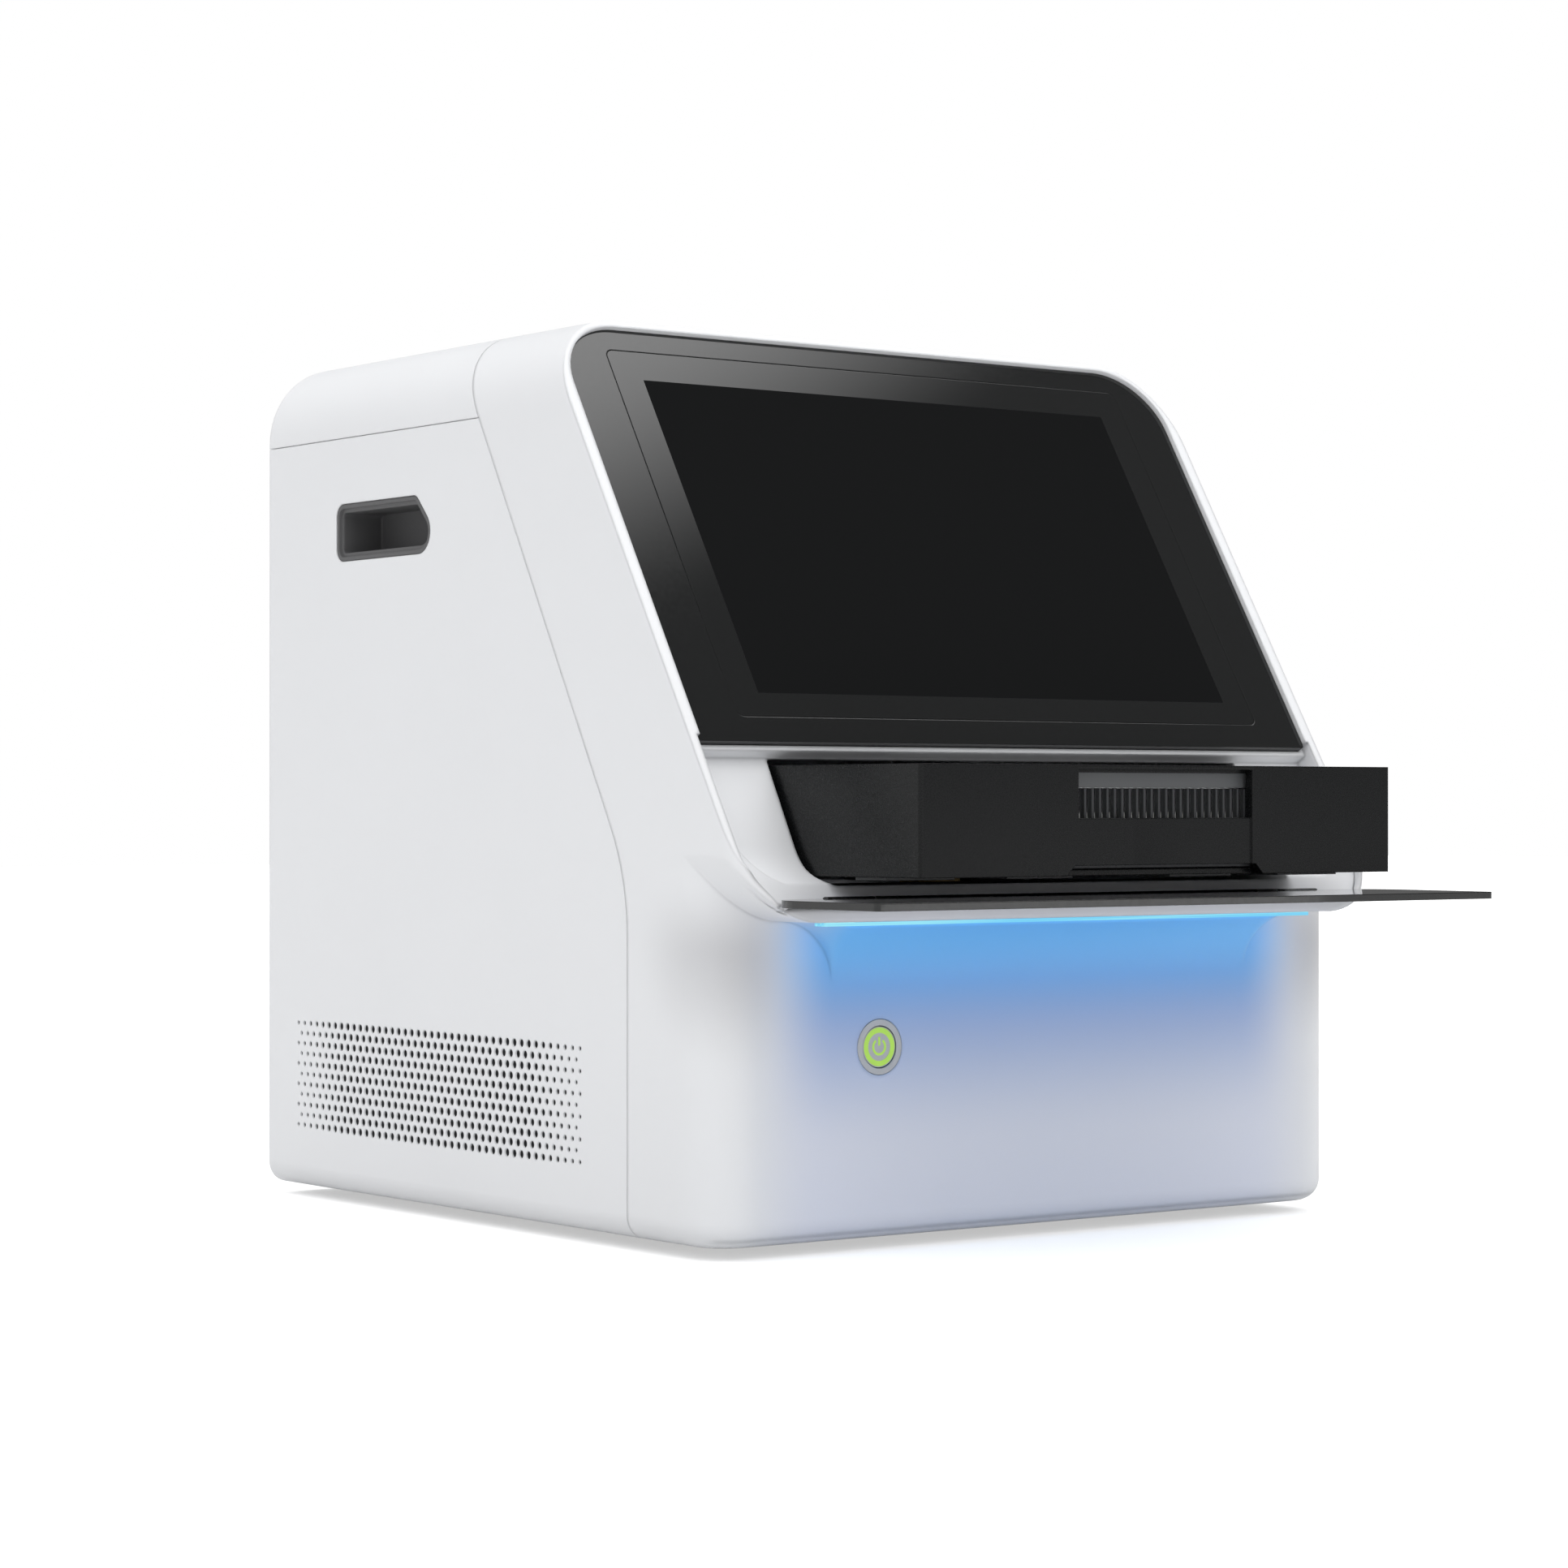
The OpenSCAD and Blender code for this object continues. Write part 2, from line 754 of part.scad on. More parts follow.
// Staggered, graded holes of a side vent, in side view
module vent_holes() {
  long_row = 1 + floor((body_d - vent_rear - vent_front) / vent_pitch);
  mid_y = y_rear - vent_rear - (long_row - 1) * vent_pitch / 2;
  mid_z = z0 + vent_mid_h;
  for (row = [0:vent_rows - 1]) {
    cols = long_row - row % 2;
    for (col = [0:cols - 1]) {
      from_end = min(col, cols - 1 - col);
      d = min(vent_d, vent_d_end + from_end * (vent_d - vent_d_end) / vent_grade);
      translate([mid_y + (col - (cols - 1) / 2) * vent_pitch,
        mid_z + (row - (vent_rows - 1) / 2) * vent_row_pitch]) circle(d = d);
    }
  }
}

module side_panel() {
  color(shell_white)
    difference() {
      intersection() {
        rear_tube();
        block([flange_x, -far, z0 - 1], [far, far, side_seam_z - seam]);
      }
      along_x(inner_x - 1, half_w + 1) handle_outline(0);
      along_x(inner_x - 1, half_w + 1) vent_holes();
    }
}

module left_side_panel() { mirror([1, 0, 0]) side_panel(); }
module right_side_panel() { side_panel(); }

module top_cover() {
  color(shell_white)
    intersection() {
      rear_tube();
      block([-far, -far, side_seam_z], [far, far, z1 + 1]);
    }
}

// Pocket with a flange that fills the opening in the side panel
module handle_cup() {
  color(dark_grey)
    difference() {
      along_x(half_w - cup_depth - cup_wall, half_w - cup_sunk) handle_outline(fit_gap);
      along_x(half_w - cup_depth, half_w + 1) handle_outline(cup_rim);
      along_x(half_w - cup_step_depth, half_w + 1) handle_outline(cup_step);
    }
}

module left_handle_cup() { mirror([1, 0, 0]) handle_cup(); }
module right_handle_cup() { handle_cup(); }

module base_plate() {
  color(steel)
    difference() {
      block([-flange_x + seam, y_front + front_seam_d + seam, z0], [flange_x - seam, y_rear, z0 + wall]);
      for (i = [-base_slots:base_slots])
        translate([i * base_slot_pitch, 0, 0])
          block([-base_slot_w / 2, y_rear - base_slot_back - base_slot_len, z0 - 1],
            [base_slot_w / 2, y_rear - base_slot_back, z0 + wall + 1]);
    }
}

base_slots = 5;
base_slot_w = 5;
base_slot_pitch = 12;
base_slot_len = 80;
base_slot_back = 90;
foot_d = 20;
foot_x = half_w - 72;
foot_ys = [y_front + front_seam_d + 16, y_rear - 60];

module rubber_feet() {
  color([0.12, 0.12, 0.12])
    for (y = foot_ys, x = [-foot_x, foot_x])
      bar_z(x, y, 0, foot_h, foot_d);
}

module fan_centres() {
  both_sides() translate([fan_x, 0, fan_z]) children();
}

module fan_hole_corners() {
  for (x = [-1, 1], z = [-1, 1]) translate([x * fan_hole, 0, z * fan_hole]) children();
}

module rear_panel() {
  color(shell_white)
    difference() {
      along_y(rear_y0, rear_y1) body_section(wall + fit_gap);
      fan_centres() {
        bar_y(0, rear_y0 - 1, rear_y1 + 1, 0, 2 * fan_bore_r);
        fan_hole_corners() bar_y(0, rear_y0 - 1, rear_y1 + 1, 0, fan_hole_d);
      }
      rear_box(rear_y0 - 1, rear_y1 + 1, inlet_z, inlet_half + fit_gap * [1, 1]);
      rear_box(rear_y0 - 1, rear_y1 + 1, switch_z, switch_half + fit_gap * [1, 1]);
      for (port = ports)
        block([ports_x - port[1] - fit_gap, rear_y0 - 1, port[0] - port[2] - fit_gap],
          [ports_x + port[1] + fit_gap, rear_y1 + 1, port[0] + port[2] + fit_gap]);
      for (i = [1:rear_slots])
        along_y(rear_y0 - 1, rear_y1 + 1)
          soft_rect([-rear_slot_half, z1 - rear_slot_top - i * rear_slot_pitch],
            [rear_slot_half, z1 - rear_slot_top - i * rear_slot_pitch + rear_slot_h],
            rear_slot_h / 2 - eps, rear_slot_h / 2 - eps);
    }
}

rear_screw_d = 6;
rear_screw_h = 2;
rear_socket_d = 3;
rear_screw_x = inner_x - 8;
rear_screw_zs = [z0 + 14, z0 + 200, side_seam_z - 14];

module rear_screws() {
  color(steel)
    both_sides()
      for (z = rear_screw_zs)
        difference() {
          bar_y(rear_screw_x, rear_y1, rear_y1 + rear_screw_h, z, rear_screw_d);
          translate([rear_screw_x, rear_y1 + rear_screw_h / 2, z]) rotate([-90, 0, 0])
            cylinder(d = rear_socket_d, h = rear_screw_h, $fn = 6);
        }
}

// Screen, light and button

touch_t = 3;
touch_r = 4;
touch_gap = 0.35;
touch_sunk = 0.05;
touch_lap = 6;
lcd_bump_t = 6;
lcd_bump_half = 60;
touch_half = panel_half - 23.7;
touch_low = 12;
touch_high = panel_len - 11;

module screen_bezel() {
  color(gloss_black)
    on_slope()
      difference() {
        translate([0, 0, -panel_t]) linear_extrude(panel_t) panel_outline(0);
        translate([0, 0, -touch_t]) linear_extrude(panel_t)
          soft_rect([-touch_half, touch_low], [touch_half, touch_high], touch_r, touch_r);
        translate([0, 0, -panel_t - 1]) linear_extrude(panel_t)
          soft_rect([-touch_half + touch_lap, touch_low + touch_lap],
            [touch_half - touch_lap, touch_high - touch_lap], touch_r / 2, touch_r / 2);
      }
}

module touch_screen() {
  color([0.07, 0.075, 0.08])
    on_slope() translate([0, 0, -touch_t]) linear_extrude(touch_t - touch_sunk)
      soft_rect([-touch_half + touch_gap, touch_low + touch_gap],
        [touch_half - touch_gap, touch_high - touch_gap], touch_r - touch_gap, touch_r - touch_gap);
}

module lcd_module() {
  color(steel)
    on_slope() {
      block([-touch_half - touch_lap, touch_low - 4, -panel_t - lcd_t],
        [touch_half + touch_lap, touch_high - 5, -panel_t]);
      block([-lcd_bump_half, touch_low + 48, -panel_t - lcd_t - lcd_bump_t],
        [lcd_bump_half, touch_high - 58, -panel_t - lcd_t]);
    }
}

module light_bar() {
  color([0.35, 0.85, 0.95])
    along_x(-light_w / 2, light_w / 2) light_section(0, 0);
}

module button_ring() {
  color(alloy)
    difference() {
      union() {
        bar_y(-button_left, y_front, y_front + button_flange_t, z0 + button_h, button_ring_d);
        bar_y(-button_left, y_front + button_flange_t, y_front + button_depth + button_floor_t,
          z0 + button_h, button_tube_d);
      }
      bar_y(-button_left, y_front - 1, y_front + button_depth, z0 + button_h, button_d + 2 * button_play);
    }
}

module power_button() {
  color([0.72, 0.74, 0.75])
    bar_y(-button_left, y_front + button_sunk, y_front + button_depth - button_stroke - fit_gap,
      z0 + button_h, button_d);
}

// Flap

module flap_door() {
  color(gloss_black)
    difference() {
      union() {
        along_z(hinge_z - flap_drop, hinge_z - flap_drop + flap_t)
          soft_rect([-flap_half, hinge_y - flap_len], [flap_half, hinge_y], flap_r, corner_r);
        bar_x(-barrel_end, barrel_end, hinge_y, hinge_z, barrel_d);
      }
      bar_x(-barrel_end - 1, barrel_end + 1, hinge_y, hinge_z, pin_d + 2 * run_gap);
      both_sides()
        block([bracket_x - bracket_w / 2 - slide_gap, hinge_y - barrel_d / 2 - 1, hinge_z - barrel_d],
          [bracket_x + bracket_w / 2 + slide_gap, hinge_y + barrel_d, hinge_z + barrel_d]);
    }
}

module flap_hinge_brackets() {
  color(steel)
    both_sides()
      difference() {
        along_x(bracket_x - bracket_w / 2, bracket_x + bracket_w / 2) bracket_view();
        bar_x(bracket_x - bracket_w, bracket_x + bracket_w, hinge_y, hinge_z, pin_d + 2 * press_gap);
      }
}

module flap_hinge_pins() {
  color(alloy)
    both_sides() bar_x(bracket_x - pin_len / 2, bracket_x + pin_len / 2, hinge_y, hinge_z, pin_d);
}

// Chassis and drawer

module chassis_frame() {
  color(steel)
    difference() {
      union() {
        both_sides() {
          along_x(rail_x, chassis_x)
            polygon([[chassis_front, z0 + wall], [chassis_front, panel_z - 8],
              [screen_back_y(chassis_top), chassis_top], [chassis_back, chassis_top],
              [chassis_back, z0 + wall]]);
          block([rail_x - chassis_foot_w, chassis_front, z0 + wall],
            [rail_x, chassis_back, z0 + wall + chassis_t]);
        }
        block([-rail_x, chassis_front, deck_z], [rail_x, chassis_back, deck_z + chassis_t]);
      }
      block([-motor_side / 2 - motor_gap, motor_face_y - motor_plate_t, deck_z - 1],
        [motor_side / 2 + motor_gap, chassis_back + 1, deck_z + chassis_t + 1]);
      both_sides()
        along_x(rail_x - 1, chassis_x + 1) {
          soft_rect([chassis_front + chassis_border, z0 + chassis_border],
            [chassis_back - chassis_border, deck_z - chassis_border], 8, 8);
          soft_rect([chassis_front + 3 * chassis_border, rail_z + rail_h + chassis_border / 2],
            [chassis_back - 2 * chassis_border, chassis_top - chassis_border / 2], 5, 5);
        }
    }
}

module fixed_rails() {
  color(alloy)
    both_sides()
      difference() {
        block([rail_lip_x, rail_front, rail_z], [rail_x, rail_back, rail_z + rail_h]);
        block([rail_lip_x - 1, rail_front - 1, rail_z + rail_wall],
          [rail_x - rail_wall, rail_back + 1, rail_z + rail_h - rail_wall]);
      }
}

module drawer_runners() {
  color(steel)
    both_sides()
      block([drawer_w / 2, carriage_back - runner_len, rail_z + rail_wall + slide_gap],
        [rail_x - rail_wall - slide_gap, carriage_back - 1, rail_z + rail_h - rail_wall - slide_gap]);
}

module drawer_plan(inset, front) {
  soft_rect([-drawer_w / 2 + inset, drawer_y + front], [drawer_w / 2 - inset, carriage_back - inset],
    max(drawer_r - inset, drawer_back_r), drawer_back_r);
}

drawer_back_r = 0.5;
window_z = drawer_top - 21.6;
window_bar = 1.6;
notch_half = 55;
notch_h = 4.2;
notch_slant = 5;
sink_ledge = 8;
scoop_x = [-24, 48];
scoop_step = 0.8;
scoop_depth = 2.4;
scoop_half = (scoop_x[1] - scoop_x[0]) / 2;
scoop_r = (scoop_half * scoop_half + scoop_depth * scoop_depth) / (2 * scoop_depth);

module drawer_shell() {
  color(gloss_black)
    difference() {
      along_z(drawer_z, drawer_top) drawer_plan(0, 0);
      along_z(drawer_z + drawer_floor_t, drawer_top + 1) drawer_plan(drawer_wall, front_wall);
      block([-window_w / 2, drawer_y - 1, window_z],
        [window_w / 2, drawer_y + front_wall + 1, drawer_top - window_bar]);
      along_y(drawer_y - 1, drawer_y + front_wall + 2)
        polygon([[-notch_half, drawer_z - 1], [-notch_half + notch_slant, drawer_z + notch_h],
          [notch_half - notch_slant, drawer_z + notch_h], [notch_half, drawer_z - 1]]);
      block([-block_w / 2 + sink_ledge, block_y - block_d / 2 + sink_ledge, drawer_z - 1],
        [block_w / 2 - sink_ledge, block_y + block_d / 2 - sink_ledge, drawer_z + drawer_floor_t + 1]);
      block([scoop_x[0], drawer_y - 1, drawer_z + notch_h],
        [scoop_x[1], drawer_y + scoop_step, window_z + eps]);
      bar_z((scoop_x[0] + scoop_x[1]) / 2, drawer_y + scoop_depth - scoop_r, drawer_z + notch_h,
        window_z + eps, 2 * scoop_r);
    }
}

deck_hole_half_w = block_w / 2 + 3;
deck_hole_half_d = block_d / 2 + 1;
frame_lap = 4;
frame_w = 6;
frame_front_w = 1;

module drawer_deck() {
  color(gloss_black)
    difference() {
      along_z(drawer_top - deck_t, drawer_top) drawer_plan(drawer_wall + fit_gap, front_wall + fit_gap);
      block([-deck_hole_half_w, block_y - deck_hole_half_d, drawer_top - deck_t - 1],
        [deck_hole_half_w, block_y + deck_hole_half_d, drawer_top + 1]);
    }
}

pad_t = 1.4;
pad_half_w = 17.5;
pad_xs = [44.5, 107];
pad_ys = [drawer_y + 28, drawer_y + 48];

module glide_pads() {
  color([0.42, 0.43, 0.44])
    both_sides()
      for (x = pad_xs)
        block([x - pad_half_w, pad_ys[0], drawer_z - pad_t], [x + pad_half_w, pad_ys[1], drawer_z]);
}

// A copy at each well of a plate centred on y
module wells(y) {
  for (col = [0:well_cols - 1], row = [0:well_rows - 1])
    translate([(col - (well_cols - 1) / 2) * well_pitch, y + (row - (well_rows - 1) / 2) * well_pitch, 0])
      children();
}

module sample_block() {
  color(alloy)
    difference() {
      block([-block_w / 2, block_y - block_d / 2, block_z], [block_w / 2, block_y + block_d / 2, block_top]);
      wells(block_y) bar_z(0, 0, block_z + well_floor, block_top + 1, well_d);
    }
}

module peltier_modules() {
  cell = [block_w / 3, block_d / 2];
  half = cell / 2 - peltier_gap * [1, 1];
  color([0.92, 0.92, 0.90])
    for (x = [-cell[0], 0, cell[0]], y = [-cell[1] / 2, cell[1] / 2])
      block([x - half[0], block_y + y - half[1], sink_z + sink_base_t],
        [x + half[0], block_y + y + half[1], block_z]);
}

// Base plate with fins that hang below it and stand tall in front of it
module heat_sink() {
  span = block_w - fin_t;
  color(alloy)
    union() {
      block([-block_w / 2, block_y - block_d / 2, sink_z],
        [block_w / 2, block_y + block_d / 2, sink_z + sink_base_t]);
      for (i = [0:fin_count - 1])
        along_x(-block_w / 2 + i * span / (fin_count - 1), -block_w / 2 + i * span / (fin_count - 1) + fin_t)
          polygon([[fin_front_y, fin_low], [block_y + block_d / 2, fin_low], [block_y + block_d / 2, sink_z],
            [block_y - block_d / 2 - fin_gap, sink_z], [block_y - block_d / 2 - fin_gap, fin_top],
            [fin_front_y, fin_top]]);
      block([-block_w / 2, fin_front_y, fin_low], [block_w / 2, block_y - block_d / 2, fin_low + fin_bar_h]);
    }
}

// Insulating frame that clamps the block under the deck
module block_frame() {
  frame_z = block_top - frame_lap;
  color([0.55, 0.56, 0.57])
    difference() {
      block([-deck_hole_half_w - frame_w, block_y - deck_hole_half_d - frame_front_w, frame_z],
        [deck_hole_half_w + frame_w, block_y + deck_hole_half_d + frame_w, drawer_top - deck_t]);
      block([-block_w / 2 - fit_gap, block_y - block_d / 2 - fit_gap, frame_z - 1],
        [block_w / 2 + fit_gap, block_y + block_d / 2 + fit_gap, drawer_top]);
      block([-deck_hole_half_w, block_y - deck_hole_half_d, block_top],
        [deck_hole_half_w, block_y + deck_hole_half_d, drawer_top]);
    }
}

module lead_nut() {
  color([0.80, 0.66, 0.36])
    difference() {
      block([-nut_w / 2, carriage_back - nut_len, screw_z - nut_drop],
        [nut_w / 2, carriage_back - 1, drawer_z]);
      bar_y(0, carriage_back - nut_len - 1, carriage_back, screw_z, screw_d + 2 * run_gap);
    }
}

module lead_screw() {
  color(steel) bar_y(0, screw_front, screw_end, screw_z, screw_d);
}

module shaft_coupling() {
  color(alloy)
    difference() {
      bar_y(0, rear_bearing_y + bearing_len + 1, motor_face_y - motor_plate_t - 1, screw_z, coupling_d);
      bar_y(0, rear_bearing_y + bearing_len, screw_end + fit_gap, screw_z, screw_d + 2 * press_gap);
      bar_y(0, motor_face_y - motor_shaft_len - fit_gap, motor_face_y, screw_z, motor_shaft_d + 2 * run_gap);
    }
}

module screw_bearings() {
  color(dark_grey)
    for (y = [screw_front, rear_bearing_y])
      difference() {
        block([-nut_w / 2, y, deck_z + chassis_t], [nut_w / 2, y + bearing_len, screw_z + nut_drop]);
        bar_y(0, y - 1, y + bearing_len + 1, screw_z, screw_d + 2 * run_gap);
      }
}

module drive_motor() {
  h = motor_side / 2;
  color([0.18, 0.18, 0.19])
    union() {
      along_y(motor_face_y, motor_face_y + motor_len)
        soft_rect([-h, screw_z - h], [h, screw_z + h], motor_r, motor_r);
      bar_y(0, motor_face_y - motor_boss_h, motor_face_y, screw_z, motor_boss_d);
      bar_y(0, motor_face_y - motor_shaft_len, motor_face_y, screw_z, motor_shaft_d);
    }
}

module motor_bracket() {
  h = motor_side / 2 + 1;
  color(steel)
    difference() {
      union() {
        block([-h, motor_face_y - motor_plate_t, deck_z + chassis_t], [h, motor_face_y, screw_z + h]);
        both_sides()
          block([h - motor_foot_t, motor_face_y - motor_foot_len, deck_z + chassis_t],
            [h - motor_foot_t + motor_foot_w, motor_face_y, deck_z + chassis_t + motor_foot_t]);
      }
      bar_y(0, motor_face_y - motor_plate_t - 1, motor_face_y + 1, screw_z, motor_boss_d + 2 * fit_gap);
    }
}

// Heated lid and optics

module lid_posts_at(z_low, z_high, d) {
  for (x = [-post_x, post_x], y = [-post_y, post_y]) bar_z(x, lid_y + y, z_low, z_high, d);
}

module lid_bridge() {
  color(steel)
    difference() {
      block([-chassis_x, lid_y - block_d / 2 - bridge_front, chassis_top],
        [chassis_x, actuator_y + bridge_back, chassis_top + bridge_t]);
      block([-bridge_hole[0], lid_y - bridge_hole[1], chassis_top - 1],
        [bridge_hole[0], lid_y + bridge_hole[1], chassis_top + bridge_t + 1]);
      lid_posts_at(chassis_top - 1, chassis_top + bridge_t + 1, post_d + 2 * run_gap);
      bar_z(0, actuator_y, chassis_top - 1, chassis_top + bridge_t + 1, rod_hole_d);
    }
}

module heated_lid() {
  color(alloy)
    difference() {
      union() {
        block([-block_w / 2, lid_y - block_d / 2, lid_z], [block_w / 2, lid_y + block_d / 2, lid_z + lid_t]);
        block([-lid_arm_half, lid_y + block_d / 2, lid_z + lid_arm_z],
          [lid_arm_half, actuator_y + lid_arm_end, lid_z + lid_t]);
      }
      wells(lid_y) bar_z(0, 0, lid_z - 1, lid_z + lid_t + 1, lid_well_d);
    }
}

module lid_guide_posts() {
  color(steel) lid_posts_at(lid_z + lid_t, chassis_top + bridge_t + lid_lift + post_end, post_d);
}

module lid_push_rod() {
  color(steel) bar_z(0, actuator_y, lid_z + lid_t, chassis_top + bridge_t + lid_lift + rod_end, post_d);
}

module lid_actuator() {
  base = chassis_top + bridge_t;
  color(dark_grey)
    difference() {
      union() {
        bar_z(0, actuator_y, base, base + actuator_h, actuator_d);
        block([-actuator_foot[0], actuator_y - actuator_foot[1], base],
          [actuator_foot[0], actuator_y + actuator_foot[1], base + actuator_foot_t]);
      }
      bar_z(0, actuator_y, base - 1, base + lid_lift + rod_end + 2, post_d + 2 * run_gap);
    }
}

module optics_housing() {
  base = chassis_top + bridge_t;
  color(dark_grey)
    difference() {
      block([-optics_w / 2, lid_y - optics_d / 2, base], [optics_w / 2, lid_y + optics_d / 2, optics_top]);
      block([-optics_w / 2 + optics_wall, lid_y - optics_d / 2 + optics_wall, base - 1],
        [optics_w / 2 - optics_wall, lid_y + optics_d / 2 - optics_wall, optics_top - optics_wall]);
      bar_z(0, wheel_y - filter_ring_r, optics_top - optics_wall - 1, optics_top + 1, filter_d);
    }
}

module filter_wheel() {
  color([0.15, 0.15, 0.16])
    difference() {
      union() {
        bar_z(0, wheel_y, wheel_z, wheel_z + wheel_t, 2 * wheel_r);
        bar_z(0, wheel_y, optics_top + slide_gap, wheel_z, wheel_boss_d);
      }
      for (i = [0:filter_count - 1])
        translate([0, wheel_y, 0]) rotate(i * 360 / filter_count)
          bar_z(0, -filter_ring_r, wheel_z - 1, wheel_z + wheel_t + 1, filter_d + 2 * fit_gap);
      bar_z(0, wheel_y, wheel_z + wheel_seat, wheel_z + wheel_t + 1, wheel_shaft_d + 2 * run_gap);
    }
}

module filter_glasses() {
  color([0.85, 0.55, 0.25])
    for (i = [0:filter_count - 1])
      translate([0, wheel_y, 0]) rotate(i * 360 / filter_count)
        bar_z(0, -filter_ring_r, wheel_z + 1, wheel_z + 1 + filter_t, filter_d);
}

module optics_bracket() {
  post_x_far = optics_plate_half - optics_post_inset;
  top = optics_plate_z + optics_plate_t;
  color(steel)
    difference() {
      union() {
        block([-optics_plate_half, optics_plate_ys[0], optics_plate_z],
          [optics_plate_half, optics_plate_ys[1], top]);
        both_sides()
          for (y = [optics_plate_ys[0] + optics_post_inset, optics_plate_ys[1] - optics_post_inset])
            bar_z(post_x_far, y, optics_top, optics_plate_z, optics_post_d);
      }
      bar_z(0, wheel_y, optics_plate_z - 1, top + 1, wheel_shaft_d + 2);
      bar_z(0, wheel_y - filter_ring_r, optics_plate_z - 1, top + 1, filter_d);
    }
}

module wheel_motor() {
  base = optics_plate_z + optics_plate_t;
  color([0.18, 0.18, 0.19])
    union() {
      bar_z(0, wheel_y, base, base + wheel_motor_h, wheel_motor_d);
      bar_z(0, wheel_y, wheel_z + wheel_seat + fit_gap, base, wheel_shaft_d);
    }
}

module detector_camera() {
  y = wheel_y - filter_ring_r;
  base = optics_plate_z + optics_plate_t;
  body_z = base + lens_h + lens_ring_h;
  color([0.13, 0.13, 0.14])
    union() {
      bar_z(0, y, base, base + lens_h, lens_d);
      bar_z(0, y, base + lens_h, body_z, lens_ring_d);
      block([-camera_half[0], y - camera_half[1], body_z],
        [camera_half[0], y + camera_half[1], body_z + camera_h]);
    }
}

// Electronics

electronics_ys = [y_rear - 246, y_rear - 76];
board_low = [-24, electronics_ys[0]];
board_high = [rail_x - 14, electronics_ys[1]];
board_z = z0 + wall + 10;
board_t = 1.6;
board_top = board_z + board_t;
board_post_d = 6;
chip_size = [40, 40, 3.4];
cell_size = [20, 25, 12.4];
cell_pitch = 30;
socket_size = [12, 10.4];

module board_posts() {
  for (x = [board_low[0] + board_post_d, board_high[0] - board_post_d],
      y = [board_low[1] + board_post_d, board_high[1] - board_post_d])
    translate([x, y, 0]) children();
}

module board_standoffs() {
  color([0.80, 0.66, 0.36])
    board_posts() bar_z(0, 0, z0 + wall, board_z, board_post_d);
}

// Board with a row of capacitors, a processor and a connector strip
module main_board() {
  color([0.10, 0.35, 0.20])
    union() {
      block([board_low[0], board_low[1], board_z], [board_high[0], board_high[1], board_top]);
      for (i = [0:3])
        translate([board_low[0] + 14 + i * cell_pitch, board_low[1] + 20, board_top]) cube(cell_size);
      translate([board_low[0] + 40, board_low[1] + 80, board_top]) cube(chip_size);
      block([board_low[0] + 5, board_high[1] - 10 - socket_size[0], board_top],
        [board_high[0] - 20, board_high[1] - 10, board_top + socket_size[1]]);
    }
}

supply_low = [-rail_x + 12, electronics_ys[0]];
supply_high = [-34, electronics_ys[1]];
supply_h = 45;
supply_hole_d = 5;
supply_hole_depth = 1.5;
supply_hole_pitch = [14, 11];

module power_supply() {
  top = z0 + wall + supply_h;
  cols = floor((supply_high[0] - supply_low[0]) / supply_hole_pitch[0]) - 1;
  rows = floor((supply_high[1] - supply_low[1]) / supply_hole_pitch[1]) - 1;
  color(steel)
    difference() {
      block([supply_low[0], supply_low[1], z0 + wall], [supply_high[0], supply_high[1], top]);
      for (i = [1:cols], j = [1:rows])
        bar_z(supply_low[0] + i * supply_hole_pitch[0], supply_low[1] + j * supply_hole_pitch[1],
          top - supply_hole_depth, top + 1, supply_hole_d);
    }
}

module fan_frames() {
  h = fan_side / 2;
  front = rear_y0 - fan_t;
  color([0.14, 0.14, 0.15])
    fan_centres()
      union() {
        difference() {
          along_y(front, rear_y0) soft_rect([-h, -h], [h, h], fan_r, fan_r);
          bar_y(0, front - 1, rear_y0 + 1, 0, 2 * fan_bore_r);
          fan_hole_corners() bar_y(0, front - 1, rear_y0 + 1, 0, fan_hole_d);
        }
        difference() {
          union() {
            bar_y(0, front, front + fan_web_t, 0, fan_boss_d);
            for (a = [45:90:315])
              rotate([0, a, 0])
                block([fan_boss_d / 4, front, -fan_arm_w / 2],
                  [fan_bore_r + 1, front + fan_web_t, fan_arm_w / 2]);
          }
          bar_y(0, front - 1, front + fan_web_t + 1, 0, fan_shaft_d + 2 * run_gap);
        }
      }
}

// Hub, pitched blades and the stub shaft that turns in the frame
module fan_rotor() {
  front = rear_y0 - fan_t;
  hub_front = front + fan_web_t + 1;
  hub_back = rear_y0 - 2;
  color([0.10, 0.10, 0.11])
    translate([fan_x, 0, fan_z])
      union() {
        bar_y(0, hub_front, hub_back, 0, fan_hub_d);
        bar_y(0, front + 0.5, hub_front + 1, 0, fan_shaft_d);
        for (i = [0:blade_count - 1])
          rotate([0, i * 360 / blade_count, 0])
            translate([0, (hub_front + hub_back) / 2, 0]) rotate([blade_pitch, 0, 0])
              block([fan_hub_d / 2 - 2, -blade_chord / 2, -blade_t / 2],
                [fan_bore_r - blade_gap, blade_chord / 2, blade_t / 2]);
      }
}

module left_fan_rotor() { mirror([1, 0, 0]) fan_rotor(); }
module right_fan_rotor() { fan_rotor(); }

